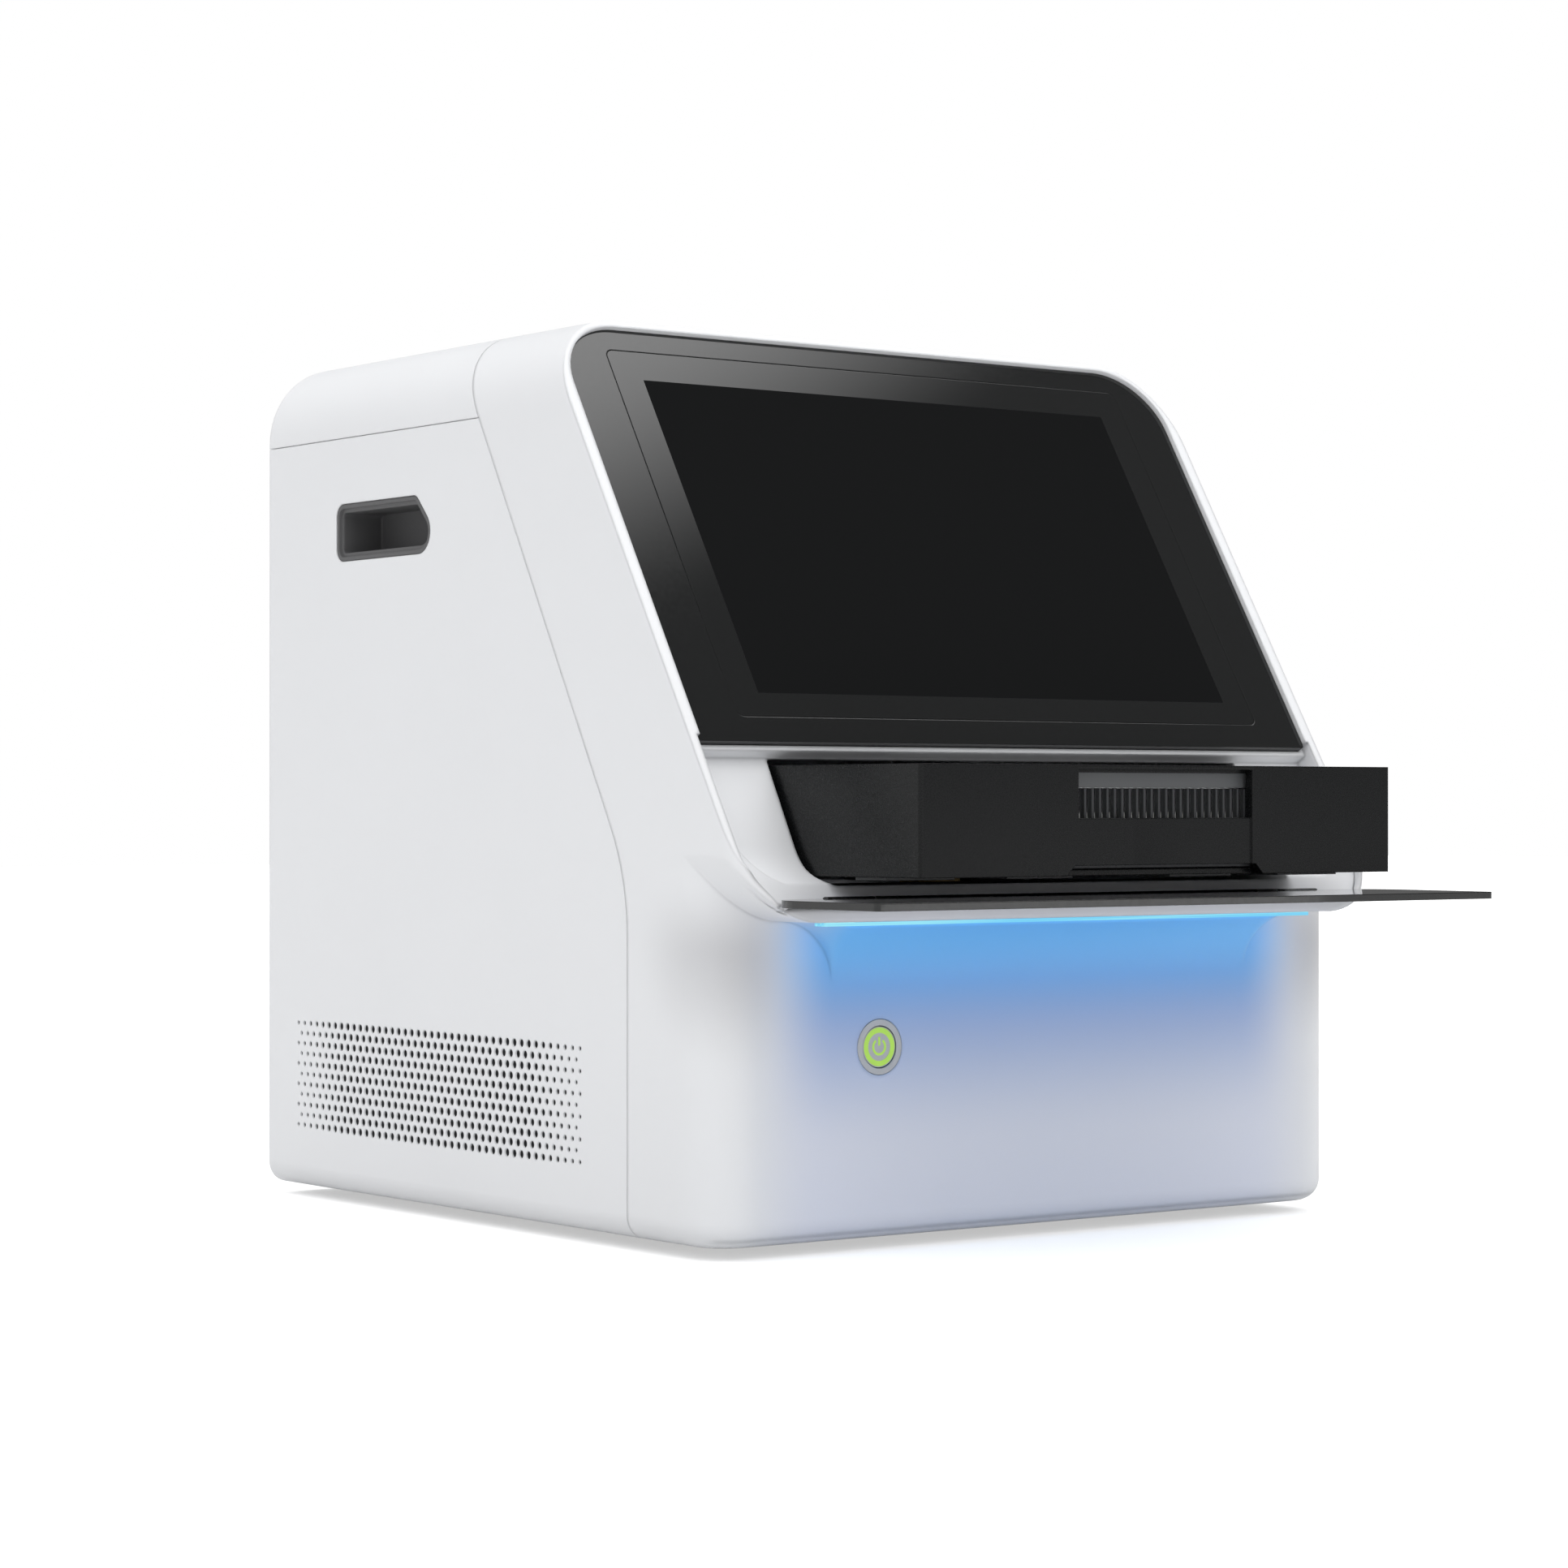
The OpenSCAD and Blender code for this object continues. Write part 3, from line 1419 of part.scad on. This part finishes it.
// Concentric wire rings and spokes on the outside of the rear panel
module fan_guards() {
  w = guard_wire / 2;
  color(steel)
    fan_centres()
      union() {
        for (i = [0:guard_rings - 1])
          translate([0, rear_y1, 0]) rotate([-90, 0, 0])
            linear_extrude(guard_wire) difference() {
              circle(guard_first_r + i * guard_step + w);
              circle(guard_first_r + i * guard_step - w);
            }
        for (a = [45:90:315])
          rotate([0, a, 0])
            block([guard_first_r - 1, rear_y1, -w], [fan_bore_r + 10, rear_y1 + guard_wire, w]);
        fan_hole_corners() bar_y(0, rear_y1, rear_y1 + guard_wire, 0, guard_pad_d);
      }
}

// Box given by its half width and half height, centred on the inlet's column
module rear_box(y_low, y_high, z, half) {
  block([inlet_x - half[0], y_low, z - half[1]], [inlet_x + half[0], y_high, z + half[1]]);
}

module rear_flange(t, z, half, r) {
  along_y(rear_y1, rear_y1 + t) translate([inlet_x, z]) soft_rect(-half, half, r, r);
}

module mains_inlet() {
  color([0.08, 0.08, 0.08])
    difference() {
      union() {
        rear_flange(inlet_flange_t, inlet_z, inlet_flange, inlet_r);
        rear_box(rear_y1 - inlet_depth - inlet_wall, rear_y1, inlet_z, inlet_half);
      }
      rear_box(rear_y1 - inlet_depth, rear_y1 + inlet_flange_t + 1, inlet_z,
        inlet_half - inlet_wall * [1, 1]);
    }
  color(steel)
    for (p = inlet_pins)
      translate([p[0], 0, p[1]]) rear_box(rear_y1 - inlet_depth, rear_y1 - 1, inlet_z, inlet_pin_half);
}

module mains_switch_frame() {
  color([0.08, 0.08, 0.08])
    difference() {
      union() {
        rear_flange(switch_flange_t, switch_z, switch_flange, switch_r);
        rear_box(rear_y0 - switch_depth, rear_y1, switch_z, switch_half);
      }
      rear_box(rear_y0 - switch_depth + 4, rear_y1 + switch_flange_t + 1, switch_z,
        rocker_half + [slide_gap, rocker_gap]);
      bar_x(inlet_x - rocker_pin_half - fit_gap, inlet_x + rocker_pin_half + fit_gap, rocker_y, switch_z,
        rocker_pin_d + 2 * run_gap);
    }
}

// Rocker on its cross pin, in the middle of its throw
module mains_rocker() {
  face_y = rear_y1 + switch_flange_t;
  color([0.15, 0.15, 0.16])
    union() {
      along_x(inlet_x - rocker_half[0], inlet_x + rocker_half[0])
        polygon([[rocker_y - rocker_heel / 2, switch_z - rocker_heel], [face_y, switch_z - rocker_half[1]],
          [face_y + rocker_crown, switch_z], [face_y, switch_z + rocker_half[1]],
          [rocker_y - rocker_heel / 2, switch_z + rocker_heel]]);
      bar_x(inlet_x - rocker_pin_half, inlet_x + rocker_pin_half, rocker_y, switch_z, rocker_pin_d);
    }
}

module data_ports() {
  color(steel)
    for (port = ports) {
      in_w = port[1] - port_wall;
      in_h = port[2] - port_wall;
      difference() {
        block([ports_x - port[1], rear_y0 - port_depth, port[0] - port[2]],
          [ports_x + port[1], rear_y1 + port_proud, port[0] + port[2]]);
        block([ports_x - in_w, rear_y0 - port_depth + port_back, port[0] - in_h],
          [ports_x + in_w, rear_y1 + port_proud + 1, port[0] + in_h]);
      }
    }
}

front_housing();
left_side_panel();
right_side_panel();
top_cover();
rear_panel();
base_plate();
rubber_feet();
left_handle_cup();
right_handle_cup();
screen_bezel();
touch_screen();
lcd_module();
light_bar();
button_ring();
power_button();
flap_door();
flap_hinge_brackets();
flap_hinge_pins();
chassis_frame();
fixed_rails();
drawer_shell();
drawer_deck();
glide_pads();
drawer_runners();
sample_block();
peltier_modules();
heat_sink();
block_frame();
lead_nut();
lead_screw();
shaft_coupling();
screw_bearings();
drive_motor();
motor_bracket();
lid_bridge();
heated_lid();
lid_guide_posts();
lid_push_rod();
lid_actuator();
optics_housing();
filter_wheel();
filter_glasses();
optics_bracket();
wheel_motor();
detector_camera();
main_board();
board_standoffs();
power_supply();
fan_frames();
left_fan_rotor();
right_fan_rotor();
fan_guards();
mains_inlet();
mains_switch_frame();
mains_rocker();
data_ports();
rear_screws();
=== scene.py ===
import json
import math

import bpy
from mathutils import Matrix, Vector


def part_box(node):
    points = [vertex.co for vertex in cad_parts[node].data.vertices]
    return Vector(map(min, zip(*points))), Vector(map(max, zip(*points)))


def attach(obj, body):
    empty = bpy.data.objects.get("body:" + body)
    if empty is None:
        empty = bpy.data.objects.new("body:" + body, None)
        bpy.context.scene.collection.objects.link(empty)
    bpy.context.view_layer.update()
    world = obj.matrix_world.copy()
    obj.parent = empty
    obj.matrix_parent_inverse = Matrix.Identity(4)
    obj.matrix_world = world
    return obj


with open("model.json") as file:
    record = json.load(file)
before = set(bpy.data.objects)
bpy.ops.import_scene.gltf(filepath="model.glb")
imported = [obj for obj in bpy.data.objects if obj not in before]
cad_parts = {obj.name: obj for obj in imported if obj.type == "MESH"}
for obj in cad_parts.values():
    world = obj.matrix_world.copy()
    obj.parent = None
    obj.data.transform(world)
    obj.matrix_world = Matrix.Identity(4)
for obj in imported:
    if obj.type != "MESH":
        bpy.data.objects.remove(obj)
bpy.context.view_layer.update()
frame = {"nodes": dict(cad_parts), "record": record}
nodes = frame["nodes"]

# All places and sizes are in metres, in the frame of the part

# Boxes of the pieces that the scene dresses
LIGHT_LOW, LIGHT_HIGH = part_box("light_bar")
BUTTON_LOW, BUTTON_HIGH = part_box("power_button")

# Sloped screen: its angle, the foot of the slope, and the active area across and up the slope
SLOPE = math.radians(31.5)
SLOPE_Y, SLOPE_Z = -0.113958, 0.210
SCREEN_HALF_W = 0.1306
SCREEN_UP = (0.0238, 0.1837)

# Painted blue light of the light bar on the front below it; each pair runs from no tint to full tint
LIP_UNDERSIDE = 0.1369
FRONT_FACE = (-0.118, -0.129)
GLOW_ENDS = (0.152, 0.112)
GLOW_RISE = (0.040, 0.118)
GLOW_TURN = (0.085, 0.130)
GLOW_LOW, GLOW_HIGH = (0.30, 0.45, 0.80), (0.17, 0.50, 0.90)
PALE_GLOW_ENDS = (0.166, 0.120)
PALE_GLOW_FALL = (0.160, 0.120)
PALE_GLOW_BLUE = (0.76, 0.79, 0.90)

# Painted shade in the hollow under the lip's corners: its middle, its reach and its depth
LIP_CORNER = (0.153, -0.128, 0.131)
SHADE_FALL = (0.156, 0.122)
SHADE_REACH = (0.060, 0.004)
SHADE_DEPTH = 0.65
SHADE_GREY = (0.42, 0.42, 0.44)

# Vent field in the side panels, and the depth below which its holes are painted dark as shade
VENT_SKIN = 0.1743
VENT_Y = (-0.060, 0.215)
VENT_Z = (0.018, 0.12)
VENT_PAINTED_SHADE = (0.07, 0.07, 0.075)

# Power sign: how far it stands proud, its thickness, its radii, the arc's angles and the bar
SIGN_PROUD, SIGN_T = 0.0001, 0.0002
RING_R = (0.0058, 0.0080)
ARC_R = (0.0026, 0.0036)
ARC_DEG = (-235, 55)
BAR_HALF_W = 0.0005
BAR_RISE = (0.0005, 0.0041)

# Studio light: sky at the horizon and overhead, and what is added on the left and in front
HORIZON, ZENITH, LEFT, FRONT = 0.22, 1.85, 0.05, 0.34
SKY_START = 0.2
LEFT_WAY, FRONT_WAY = (-0.94, 0.34, 0.0), (0.0, -1.0, 0.05)
SIDE_FADE = (0.1, 0.9)

# What gloss sees: brighter on the left, and one soft panel overhead
GLOSS_SIDES = (-0.3, 0.35)
GLOSS_LEFT, GLOSS_RIGHT = 0.75, 0.12
PANEL_WAY = (0.3495, 0.0, 0.937)
PANEL_FADE = (0.905, 0.9355)
PANEL_LEVEL = 3.6

# Floor
FLOOR_HALF = 9
FLOOR_TONES = (0.75, 0.77)
FLOOR_SEEN = 0.5

# Camera
LENS_MM, SENSOR_MM = 87.29, 36
CAMERA_AT = (-1.057, -1.3645, 0.184)
CAMERA_TURN = (90.316, 0, -36.646)


# Node graph helpers

def put(tree, kind, props=None, **inputs):
    """Adds a node, sets its properties and its inputs; an input that is a socket is linked."""
    node = tree.nodes.new(kind)
    for key, value in (props or {}).items():
        setattr(node, key, value)
    for key, value in inputs.items():
        numbered = key[0] == "i" and key[1:].isdigit()
        feed(tree, node.inputs[int(key[1:]) if numbered else key.replace("_", " ")], value)
    return node


def feed(tree, socket, value):
    """Links a socket to an input, or sets the input's value."""
    if isinstance(value, bpy.types.NodeSocket):
        tree.links.new(value, socket)
    else:
        socket.default_value = value


def calc(tree, op, *values):
    """One math node; returns its output."""
    return put(tree, "ShaderNodeMath", {"operation": op}, **{f"i{k}": v for k, v in enumerate(values)}).outputs[0]


def times(tree, first, *others):
    """Product of two or more values."""
    for other in others:
        first = calc(tree, "MULTIPLY", first, other)
    return first


def between(tree, value, low, high):
    """1 where a value lies between two limits, and 0 elsewhere."""
    return times(tree, calc(tree, "GREATER_THAN", value, low), calc(tree, "LESS_THAN", value, high))


def ramp(tree, value, low, high, out_low=0.0, out_high=1.0):
    """Smooth step from low to high."""
    return put(tree, "ShaderNodeMapRange", {"interpolation_type": "SMOOTHSTEP"}, Value=value, From_Min=low,
               From_Max=high, To_Min=out_low, To_Max=out_high).outputs[0]


def blend_colours(tree, factor, a, b):
    """Mix of two colours."""
    node = tree.nodes.new("ShaderNodeMix")
    node.data_type = "RGBA"
    for socket, value in ((node.inputs[0], factor), (node.inputs[6], a), (node.inputs[7], b)):
        feed(tree, socket, value)
    return node.outputs[2]


def toward(tree, way, aim):
    """Cosine of the angle between a direction and an aim."""
    return put(tree, "ShaderNodeVectorMath", {"operation": "DOT_PRODUCT"}, i0=way, i1=aim).outputs["Value"]


def rgb(*c):
    """Colour with full alpha."""
    return (*c, 1.0)


def new_material(name):
    """Empty node material and its tree."""
    mat = bpy.data.materials.new(name)
    mat.use_nodes = True
    mat.node_tree.nodes.clear()
    return mat, mat.node_tree


def place(tree):
    """Object coordinates, which are the frame of the part, and their three parts."""
    at = put(tree, "ShaderNodeTexCoord").outputs["Object"]
    parts = put(tree, "ShaderNodeSeparateXYZ", Vector=at)
    return at, parts.outputs[0], parts.outputs[1], parts.outputs[2]


def noise(tree, at, scale, detail=3.0):
    """Noise between 0 and 1."""
    return put(tree, "ShaderNodeTexNoise", Vector=at, Scale=scale, Detail=detail, Roughness=0.55).outputs["Fac"]


def rounded(tree, radius):
    """Normal that softens sharp edges."""
    return put(tree, "ShaderNodeBevel", {"samples": 6}, Radius=radius).outputs[0]


def finish_surface(mat, tree, shader):
    """Links the shader to the material's output."""
    put(tree, "ShaderNodeOutputMaterial", Surface=shader.outputs[0])
    return mat


# Materials

def surface(name, colour, rough, metal=0.0, grain=900.0, bump=0.02, spread=0.04, rough_spread=0.06,
            edge=0.0006, spec=0.5, stretch=(1, 1, 1), painted_shading=None):
    """Finish with grain in colour, roughness and height, and softened edges."""
    mat, tree = new_material(name)
    at, x, y, z = place(tree)
    at = put(tree, "ShaderNodeMapping", Vector=at, Scale=stretch).outputs[0]
    fine = noise(tree, at, grain)
    wide = noise(tree, at, 14.0, 2.0)
    dark = rgb(*(c * (1 - spread) for c in colour))
    light = rgb(*(min(1.0, c * (1 + spread)) for c in colour))
    tone = blend_colours(tree, wide, dark, light)
    # Painted light or shade over the colour, for the pieces that have it
    if painted_shading:
        tone = painted_shading(tree, x, y, z, tone)
    finish = ramp(tree, fine, 0.25, 0.75, max(0.02, rough - rough_spread), min(1.0, rough + rough_spread))
    normal = put(tree, "ShaderNodeBump", Height=fine, Strength=bump, Distance=0.0004,
                 Normal=rounded(tree, edge)).outputs[0]
    shader = put(tree, "ShaderNodeBsdfPrincipled", Base_Color=tone, Roughness=finish, Metallic=metal,
                 Normal=normal, Specular_IOR_Level=spec)
    return finish_surface(mat, tree, shader)


def white_plastic(name, edge, painted_shading=None):
    """White of the housing."""
    return surface(name, (0.84, 0.85, 0.87), 0.42, grain=2600, bump=0.05, spread=0.012, edge=edge, painted_shading=painted_shading)


def painted_bar_glow_and_lip_shade(tree, x, y, z, tone):
    """Painted shade under the lip's corners, and painted blue light of the light bar on the face below it, which
    fades out around it.
    """
    aside = calc(tree, "ABSOLUTE", x)
    spot = put(tree, "ShaderNodeCombineXYZ", X=aside, Y=y, Z=z).outputs[0]
    away = put(tree, "ShaderNodeVectorMath", {"operation": "DISTANCE"}, i0=spot, i1=LIP_CORNER).outputs["Value"]
    # Painted shade: grey in the hollow under the lip's corners
    shade = times(tree, ramp(tree, z, *SHADE_FALL), ramp(tree, away, *SHADE_REACH, 0.0, SHADE_DEPTH))
    front = ramp(tree, y, *FRONT_FACE)
    # Painted light: pale blue where the bar's light fades out, full blue on the face right below the bar
    pale_glow = times(tree, ramp(tree, aside, *PALE_GLOW_ENDS), front, ramp(tree, z, *PALE_GLOW_FALL))
    glow = times(tree, ramp(tree, aside, *GLOW_ENDS), calc(tree, "LESS_THAN", z, LIP_UNDERSIDE), front,
                 ramp(tree, z, *GLOW_RISE))
    glow_blue = blend_colours(tree, ramp(tree, z, *GLOW_TURN), rgb(*GLOW_LOW), rgb(*GLOW_HIGH))
    # Painted shade first, then the painted pale and full blue light of the bar
    tone = blend_colours(tree, shade, tone, rgb(*SHADE_GREY))
    tone = blend_colours(tree, pale_glow, tone, rgb(*PALE_GLOW_BLUE))
    return blend_colours(tree, glow, tone, glow_blue)


def painted_vent_shade(tree, x, y, z, tone):
    """Painted shade: dark hole walls and inner face in the vent field."""
    inner = calc(tree, "LESS_THAN", calc(tree, "ABSOLUTE", x), VENT_SKIN)
    dark = times(tree, inner, between(tree, z, *VENT_Z), between(tree, y, *VENT_Y))
    # Painted shade inside the vent holes
    return blend_colours(tree, dark, tone, rgb(*VENT_PAINTED_SHADE))


def screen_face():
    """Glass over the display: the active area is darker and less reflective than its border."""
    mat, tree = new_material("screen_glass")
    at, x, y, z = place(tree)
    up = calc(tree, "ADD", times(tree, calc(tree, "SUBTRACT", z, SLOPE_Z), math.cos(SLOPE)),
              times(tree, calc(tree, "SUBTRACT", y, SLOPE_Y), math.sin(SLOPE)))
    inside = times(tree, calc(tree, "LESS_THAN", calc(tree, "ABSOLUTE", x), SCREEN_HALF_W),
                   between(tree, up, *SCREEN_UP))
    tone = blend_colours(tree, inside, rgb(0.0125, 0.0130, 0.0132), rgb(0.0098, 0.0101, 0.0104))
    rough = calc(tree, "ADD", times(tree, noise(tree, at, 9.0, 4.0), 0.03), 0.04)
    spec = calc(tree, "SUBTRACT", 0.5, times(tree, inside, 0.5))
    shader = put(tree, "ShaderNodeBsdfPrincipled", Base_Color=tone, Roughness=rough, Specular_IOR_Level=spec,
                 Normal=rounded(tree, 0.0003))
    return finish_surface(mat, tree, shader)


def lit_bar():
    """Light bar: cyan diffuser with thin darker streaks along its length."""
    mat, tree = new_material("light")
    run = put(tree, "ShaderNodeMapping", Vector=place(tree)[0], Scale=(9.0, 900.0, 900.0)).outputs[0]
    streak = ramp(tree, noise(tree, run, 1.0, 2.0), 0.42, 0.62)
    tone = blend_colours(tree, streak, rgb(0.16, 0.62, 0.88), rgb(0.30, 0.78, 0.90))
    shader = put(tree, "ShaderNodeBsdfPrincipled", Base_Color=rgb(0.05, 0.10, 0.12), Roughness=0.4,
                 Emission_Color=tone, Emission_Strength=0.9)
    return finish_surface(mat, tree, shader)


def lit_sign():
    """Green of the power sign, with a slightly uneven diffuser."""
    mat, tree = new_material("button_green")
    colour = (0.42, 0.72, 0.10)
    tone = blend_colours(tree, noise(tree, place(tree)[0], 260.0), rgb(*(c * 0.85 for c in colour)),
                         rgb(*(c * 1.05 for c in colour)))
    shader = put(tree, "ShaderNodeBsdfPrincipled", Base_Color=rgb(*(0.3 * c for c in colour)), Roughness=0.45,
                 Emission_Color=tone, Emission_Strength=0.75)
    return finish_surface(mat, tree, shader)


def clear_filter():
    """Coated glass of the filters."""
    mat, tree = new_material("filter_glass")
    tone = blend_colours(tree, noise(tree, place(tree)[0], 60.0), rgb(0.80, 0.44, 0.16), rgb(0.90, 0.56, 0.24))
    shader = put(tree, "ShaderNodeBsdfPrincipled", Base_Color=tone, Roughness=0.06, Transmission_Weight=0.6)
    return finish_surface(mat, tree, shader)


# One look for each material slot of the record
LOOKS = {
    "white_shell": white_plastic("white_shell", 0.0012),
    "gloss_black": surface("gloss_black", (0.0125, 0.0130, 0.0132), 0.06, grain=500, bump=0.0, spread=0.05,
                           rough_spread=0.02, edge=0.0005),
    "screen_glass": screen_face(),
    "drawer_black": surface("drawer_black", (0.0070, 0.0075, 0.0080), 0.28, grain=1800, bump=0.01, spread=0.06,
                            edge=0.0008, spec=0.22),
    "rubber": surface("rubber", (0.028, 0.028, 0.028), 0.85, grain=1500, bump=0.25, spread=0.1, edge=0.001),
    "handle_grey": surface("handle_grey", (0.105, 0.105, 0.108), 0.5, grain=2200, bump=0.05, edge=0.0015),
    "light": lit_bar(),
    "button_metal": surface("button_metal", (0.48, 0.50, 0.53), 0.38, metal=0.55, grain=1400),
    "steel": surface("steel", (0.50, 0.51, 0.53), 0.36, metal=1.0, grain=700, bump=0.03, spread=0.1,
                     stretch=(0.05, 1, 1)),
    "aluminium": surface("aluminium", (0.66, 0.67, 0.68), 0.34, metal=1.0, bump=0.03, spread=0.06,
                         stretch=(1, 0.06, 1)),
    "pad_grey": surface("pad_grey", (0.11, 0.115, 0.12), 0.45, grain=1600, bump=0.03),
    "ceramic": surface("ceramic", (0.84, 0.84, 0.82), 0.55, grain=1200, bump=0.04),
    "brass": surface("brass", (0.70, 0.52, 0.24), 0.32, metal=1.0, spread=0.08),
    "dark_plastic": surface("dark_plastic", (0.030, 0.030, 0.032), 0.55, grain=1800, bump=0.08, spread=0.08),
    "dark_metal": surface("dark_metal", (0.050, 0.050, 0.054), 0.45, metal=0.3, grain=1200, bump=0.05, spread=0.1),
    "filter_glass": clear_filter(),
    "board_green": surface("board_green", (0.025, 0.13, 0.055), 0.38, grain=400, bump=0.06, spread=0.25),
}

# Pieces with a look of their own
# Side panels' white, with painted shade in the vent holes
SIDE_PANEL = white_plastic("white_side_painted_vent_shade", 0.0012, painted_vent_shade)
OWN_LOOKS = {
    # Front housing: painted blue light of the light bar and painted shade under the lip's corners
    "front_housing": white_plastic("white_front_painted_glow_shade", 0.0028, painted_bar_glow_and_lip_shade),
    "left_side_panel": SIDE_PANEL,
    "right_side_panel": SIDE_PANEL,
    "heat_sink": surface("fin_black", (0.050, 0.052, 0.056), 0.45, metal=0.4, bump=0.03, spread=0.06),
}

for row in frame["record"]["subparts"]:
    mesh = nodes[row["node"]].data
    mesh.materials.clear()
    mesh.materials.append(OWN_LOOKS.get(row["node"], LOOKS[row["material_slot"]]))


# Power sign on the button

def add_sign(name, points, faces):
    """Piece of the sign, which rides on the button."""
    mesh = bpy.data.meshes.new(name)
    mesh.from_pydata(points, [], faces)
    mesh.update()
    mesh.materials.append(SIGN_LOOK)
    obj = bpy.data.objects.new(name, mesh)
    bpy.context.scene.collection.objects.link(obj)
    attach(obj, "button")


def flat_arc(name, r_in, r_out, start, end, steps):
    """Raised flat arc on the button's face, which looks along -Y; angles in degrees from +X towards +Z."""
    whole = end - start >= 360
    count = steps if whole else steps + 1
    points, faces = [], []
    for k in range(count):
        a = math.radians(start + (end - start) * k / steps)
        for r, d in ((r_in, 0), (r_out, 0), (r_out, SIGN_T), (r_in, SIGN_T)):
            points.append((SIGN_MID.x + r * math.cos(a), SIGN_Y + d, SIGN_MID.z + r * math.sin(a)))
    for k in range(steps):
        a, b = 4 * k, 4 * ((k + 1) % count)
        for i in range(4):
            j = (i + 1) % 4
            faces.append((a + i, b + i, b + j, a + j))
    if not whole:
        faces += [(0, 1, 2, 3), (4 * steps + 3, 4 * steps + 2, 4 * steps + 1, 4 * steps)]
    add_sign(name, points, faces)


def flat_bar(name, half_w, low, high):
    """Raised upright bar on the button's face, between two heights above its middle."""
    points = [(SIGN_MID.x + x, SIGN_Y + y, SIGN_MID.z + z)
              for x in (-half_w, half_w) for y in (0, SIGN_T) for z in (low, high)]
    add_sign(name, points, [(0, 1, 3, 2), (4, 6, 7, 5), (0, 4, 5, 1), (2, 3, 7, 6), (0, 2, 6, 4), (1, 5, 7, 3)])


SIGN_LOOK = lit_sign()
SIGN_MID = (BUTTON_LOW + BUTTON_HIGH) / 2
SIGN_Y = BUTTON_LOW.y - SIGN_PROUD
flat_arc("button_light_ring", *RING_R, 0, 360, 72)
flat_arc("power_sign_arc", *ARC_R, *ARC_DEG, 40)
flat_bar("power_sign_bar", BAR_HALF_W, *BAR_RISE)


# Stage, light and camera

def white_stage():
    """Pale floor, which the camera sees as white and which keeps the shadow."""
    mat, tree = new_material("stage_white")
    dark, light = (rgb(t, t, t) for t in FLOOR_TONES)
    tone = blend_colours(tree, noise(tree, place(tree)[0], 3.0), dark, light)
    base = put(tree, "ShaderNodeBsdfDiffuse", Color=tone)
    seen = put(tree, "ShaderNodeLightPath").outputs["Is Camera Ray"]
    lift = put(tree, "ShaderNodeEmission", Color=rgb(1, 1, 1), Strength=times(tree, seen, FLOOR_SEEN))
    shader = put(tree, "ShaderNodeAddShader", i0=base.outputs[0], i1=lift.outputs[0])
    return finish_surface(mat, tree, shader)


def studio_world():
    """White to the camera, a sky with a bright zenith as light, and a darker room for gloss."""
    world = bpy.data.worlds.new("studio")
    world.use_nodes = True
    tree = world.node_tree
    tree.nodes.clear()
    path = put(tree, "ShaderNodeLightPath")
    way = put(tree, "ShaderNodeTexCoord").outputs["Generated"]
    parts = put(tree, "ShaderNodeSeparateXYZ", Vector=way)
    sky = ramp(tree, parts.outputs[2], SKY_START, 1.0, HORIZON, ZENITH)
    for aim, amount in ((LEFT_WAY, LEFT), (FRONT_WAY, FRONT)):
        sky = calc(tree, "ADD", sky, ramp(tree, toward(tree, way, aim), *SIDE_FADE, 0.0, amount))
    gloss = calc(tree, "ADD", ramp(tree, parts.outputs[0], *GLOSS_SIDES, GLOSS_LEFT, GLOSS_RIGHT),
                 ramp(tree, toward(tree, way, PANEL_WAY), *PANEL_FADE, 0.0, PANEL_LEVEL))
    level = blend_colours(tree, path.outputs["Is Glossy Ray"], sky, gloss)
    level = blend_colours(tree, path.outputs["Is Camera Ray"], level, rgb(1, 1, 1))
    back = put(tree, "ShaderNodeBackground", Color=level, Strength=1.0)
    put(tree, "ShaderNodeOutputWorld", Surface=back.outputs[0])
    return world


def area_lamp(name, at, aim, size, power, colour=(1, 1, 1)):
    """Rectangular lamp that looks at a point."""
    lamp = bpy.data.lights.new(name, "AREA")
    lamp.shape = "RECTANGLE"
    lamp.size, lamp.size_y = size
    lamp.energy = power
    lamp.color = colour
    obj = bpy.data.objects.new(name, lamp)
    obj.location = at
    obj.rotation_euler = (Vector(aim) - Vector(at)).to_track_quat("-Z", "Y").to_euler()
    bpy.context.scene.collection.objects.link(obj)


floor_mesh = bpy.data.meshes.new("floor")
corners = [(x * FLOOR_HALF, y * FLOOR_HALF, 0) for x, y in ((-1, -1), (1, -1), (1, 1), (-1, 1))]
floor_mesh.from_pydata(corners, [], [(0, 1, 2, 3)])
floor_mesh.materials.append(white_stage())
floor = bpy.data.objects.new("floor", floor_mesh)
bpy.context.scene.collection.objects.link(floor)

bpy.context.scene.world = studio_world()
area_lamp("key", (-1.9, -0.9, 1.9), (0, 0, 0.2), (1.4, 1.4), 2)
area_lamp("low_fill", (0.2, -1.3, 0.07), (0, -0.13, 0.04), (1.6, 0.1), 0.6)
area_lamp("bar_glow", (0, LIGHT_LOW.y, LIGHT_LOW.z - 0.0008), (0, LIGHT_LOW.y + 0.012, LIGHT_LOW.z - 0.05),
          (LIGHT_HIGH.x - LIGHT_LOW.x, 0.003), 0.010, (0.03, 0.40, 1.0))

camera = bpy.data.cameras.new("camera")
camera.lens = LENS_MM
camera.sensor_width = SENSOR_MM
camera.clip_start = 0.01
camera_obj = bpy.data.objects.new("camera", camera)
camera_obj.location = CAMERA_AT
camera_obj.rotation_euler = [math.radians(a) for a in CAMERA_TURN]
bpy.context.scene.collection.objects.link(camera_obj)
bpy.context.scene.camera = camera_obj
bpy.context.scene.view_settings.view_transform = "Standard"
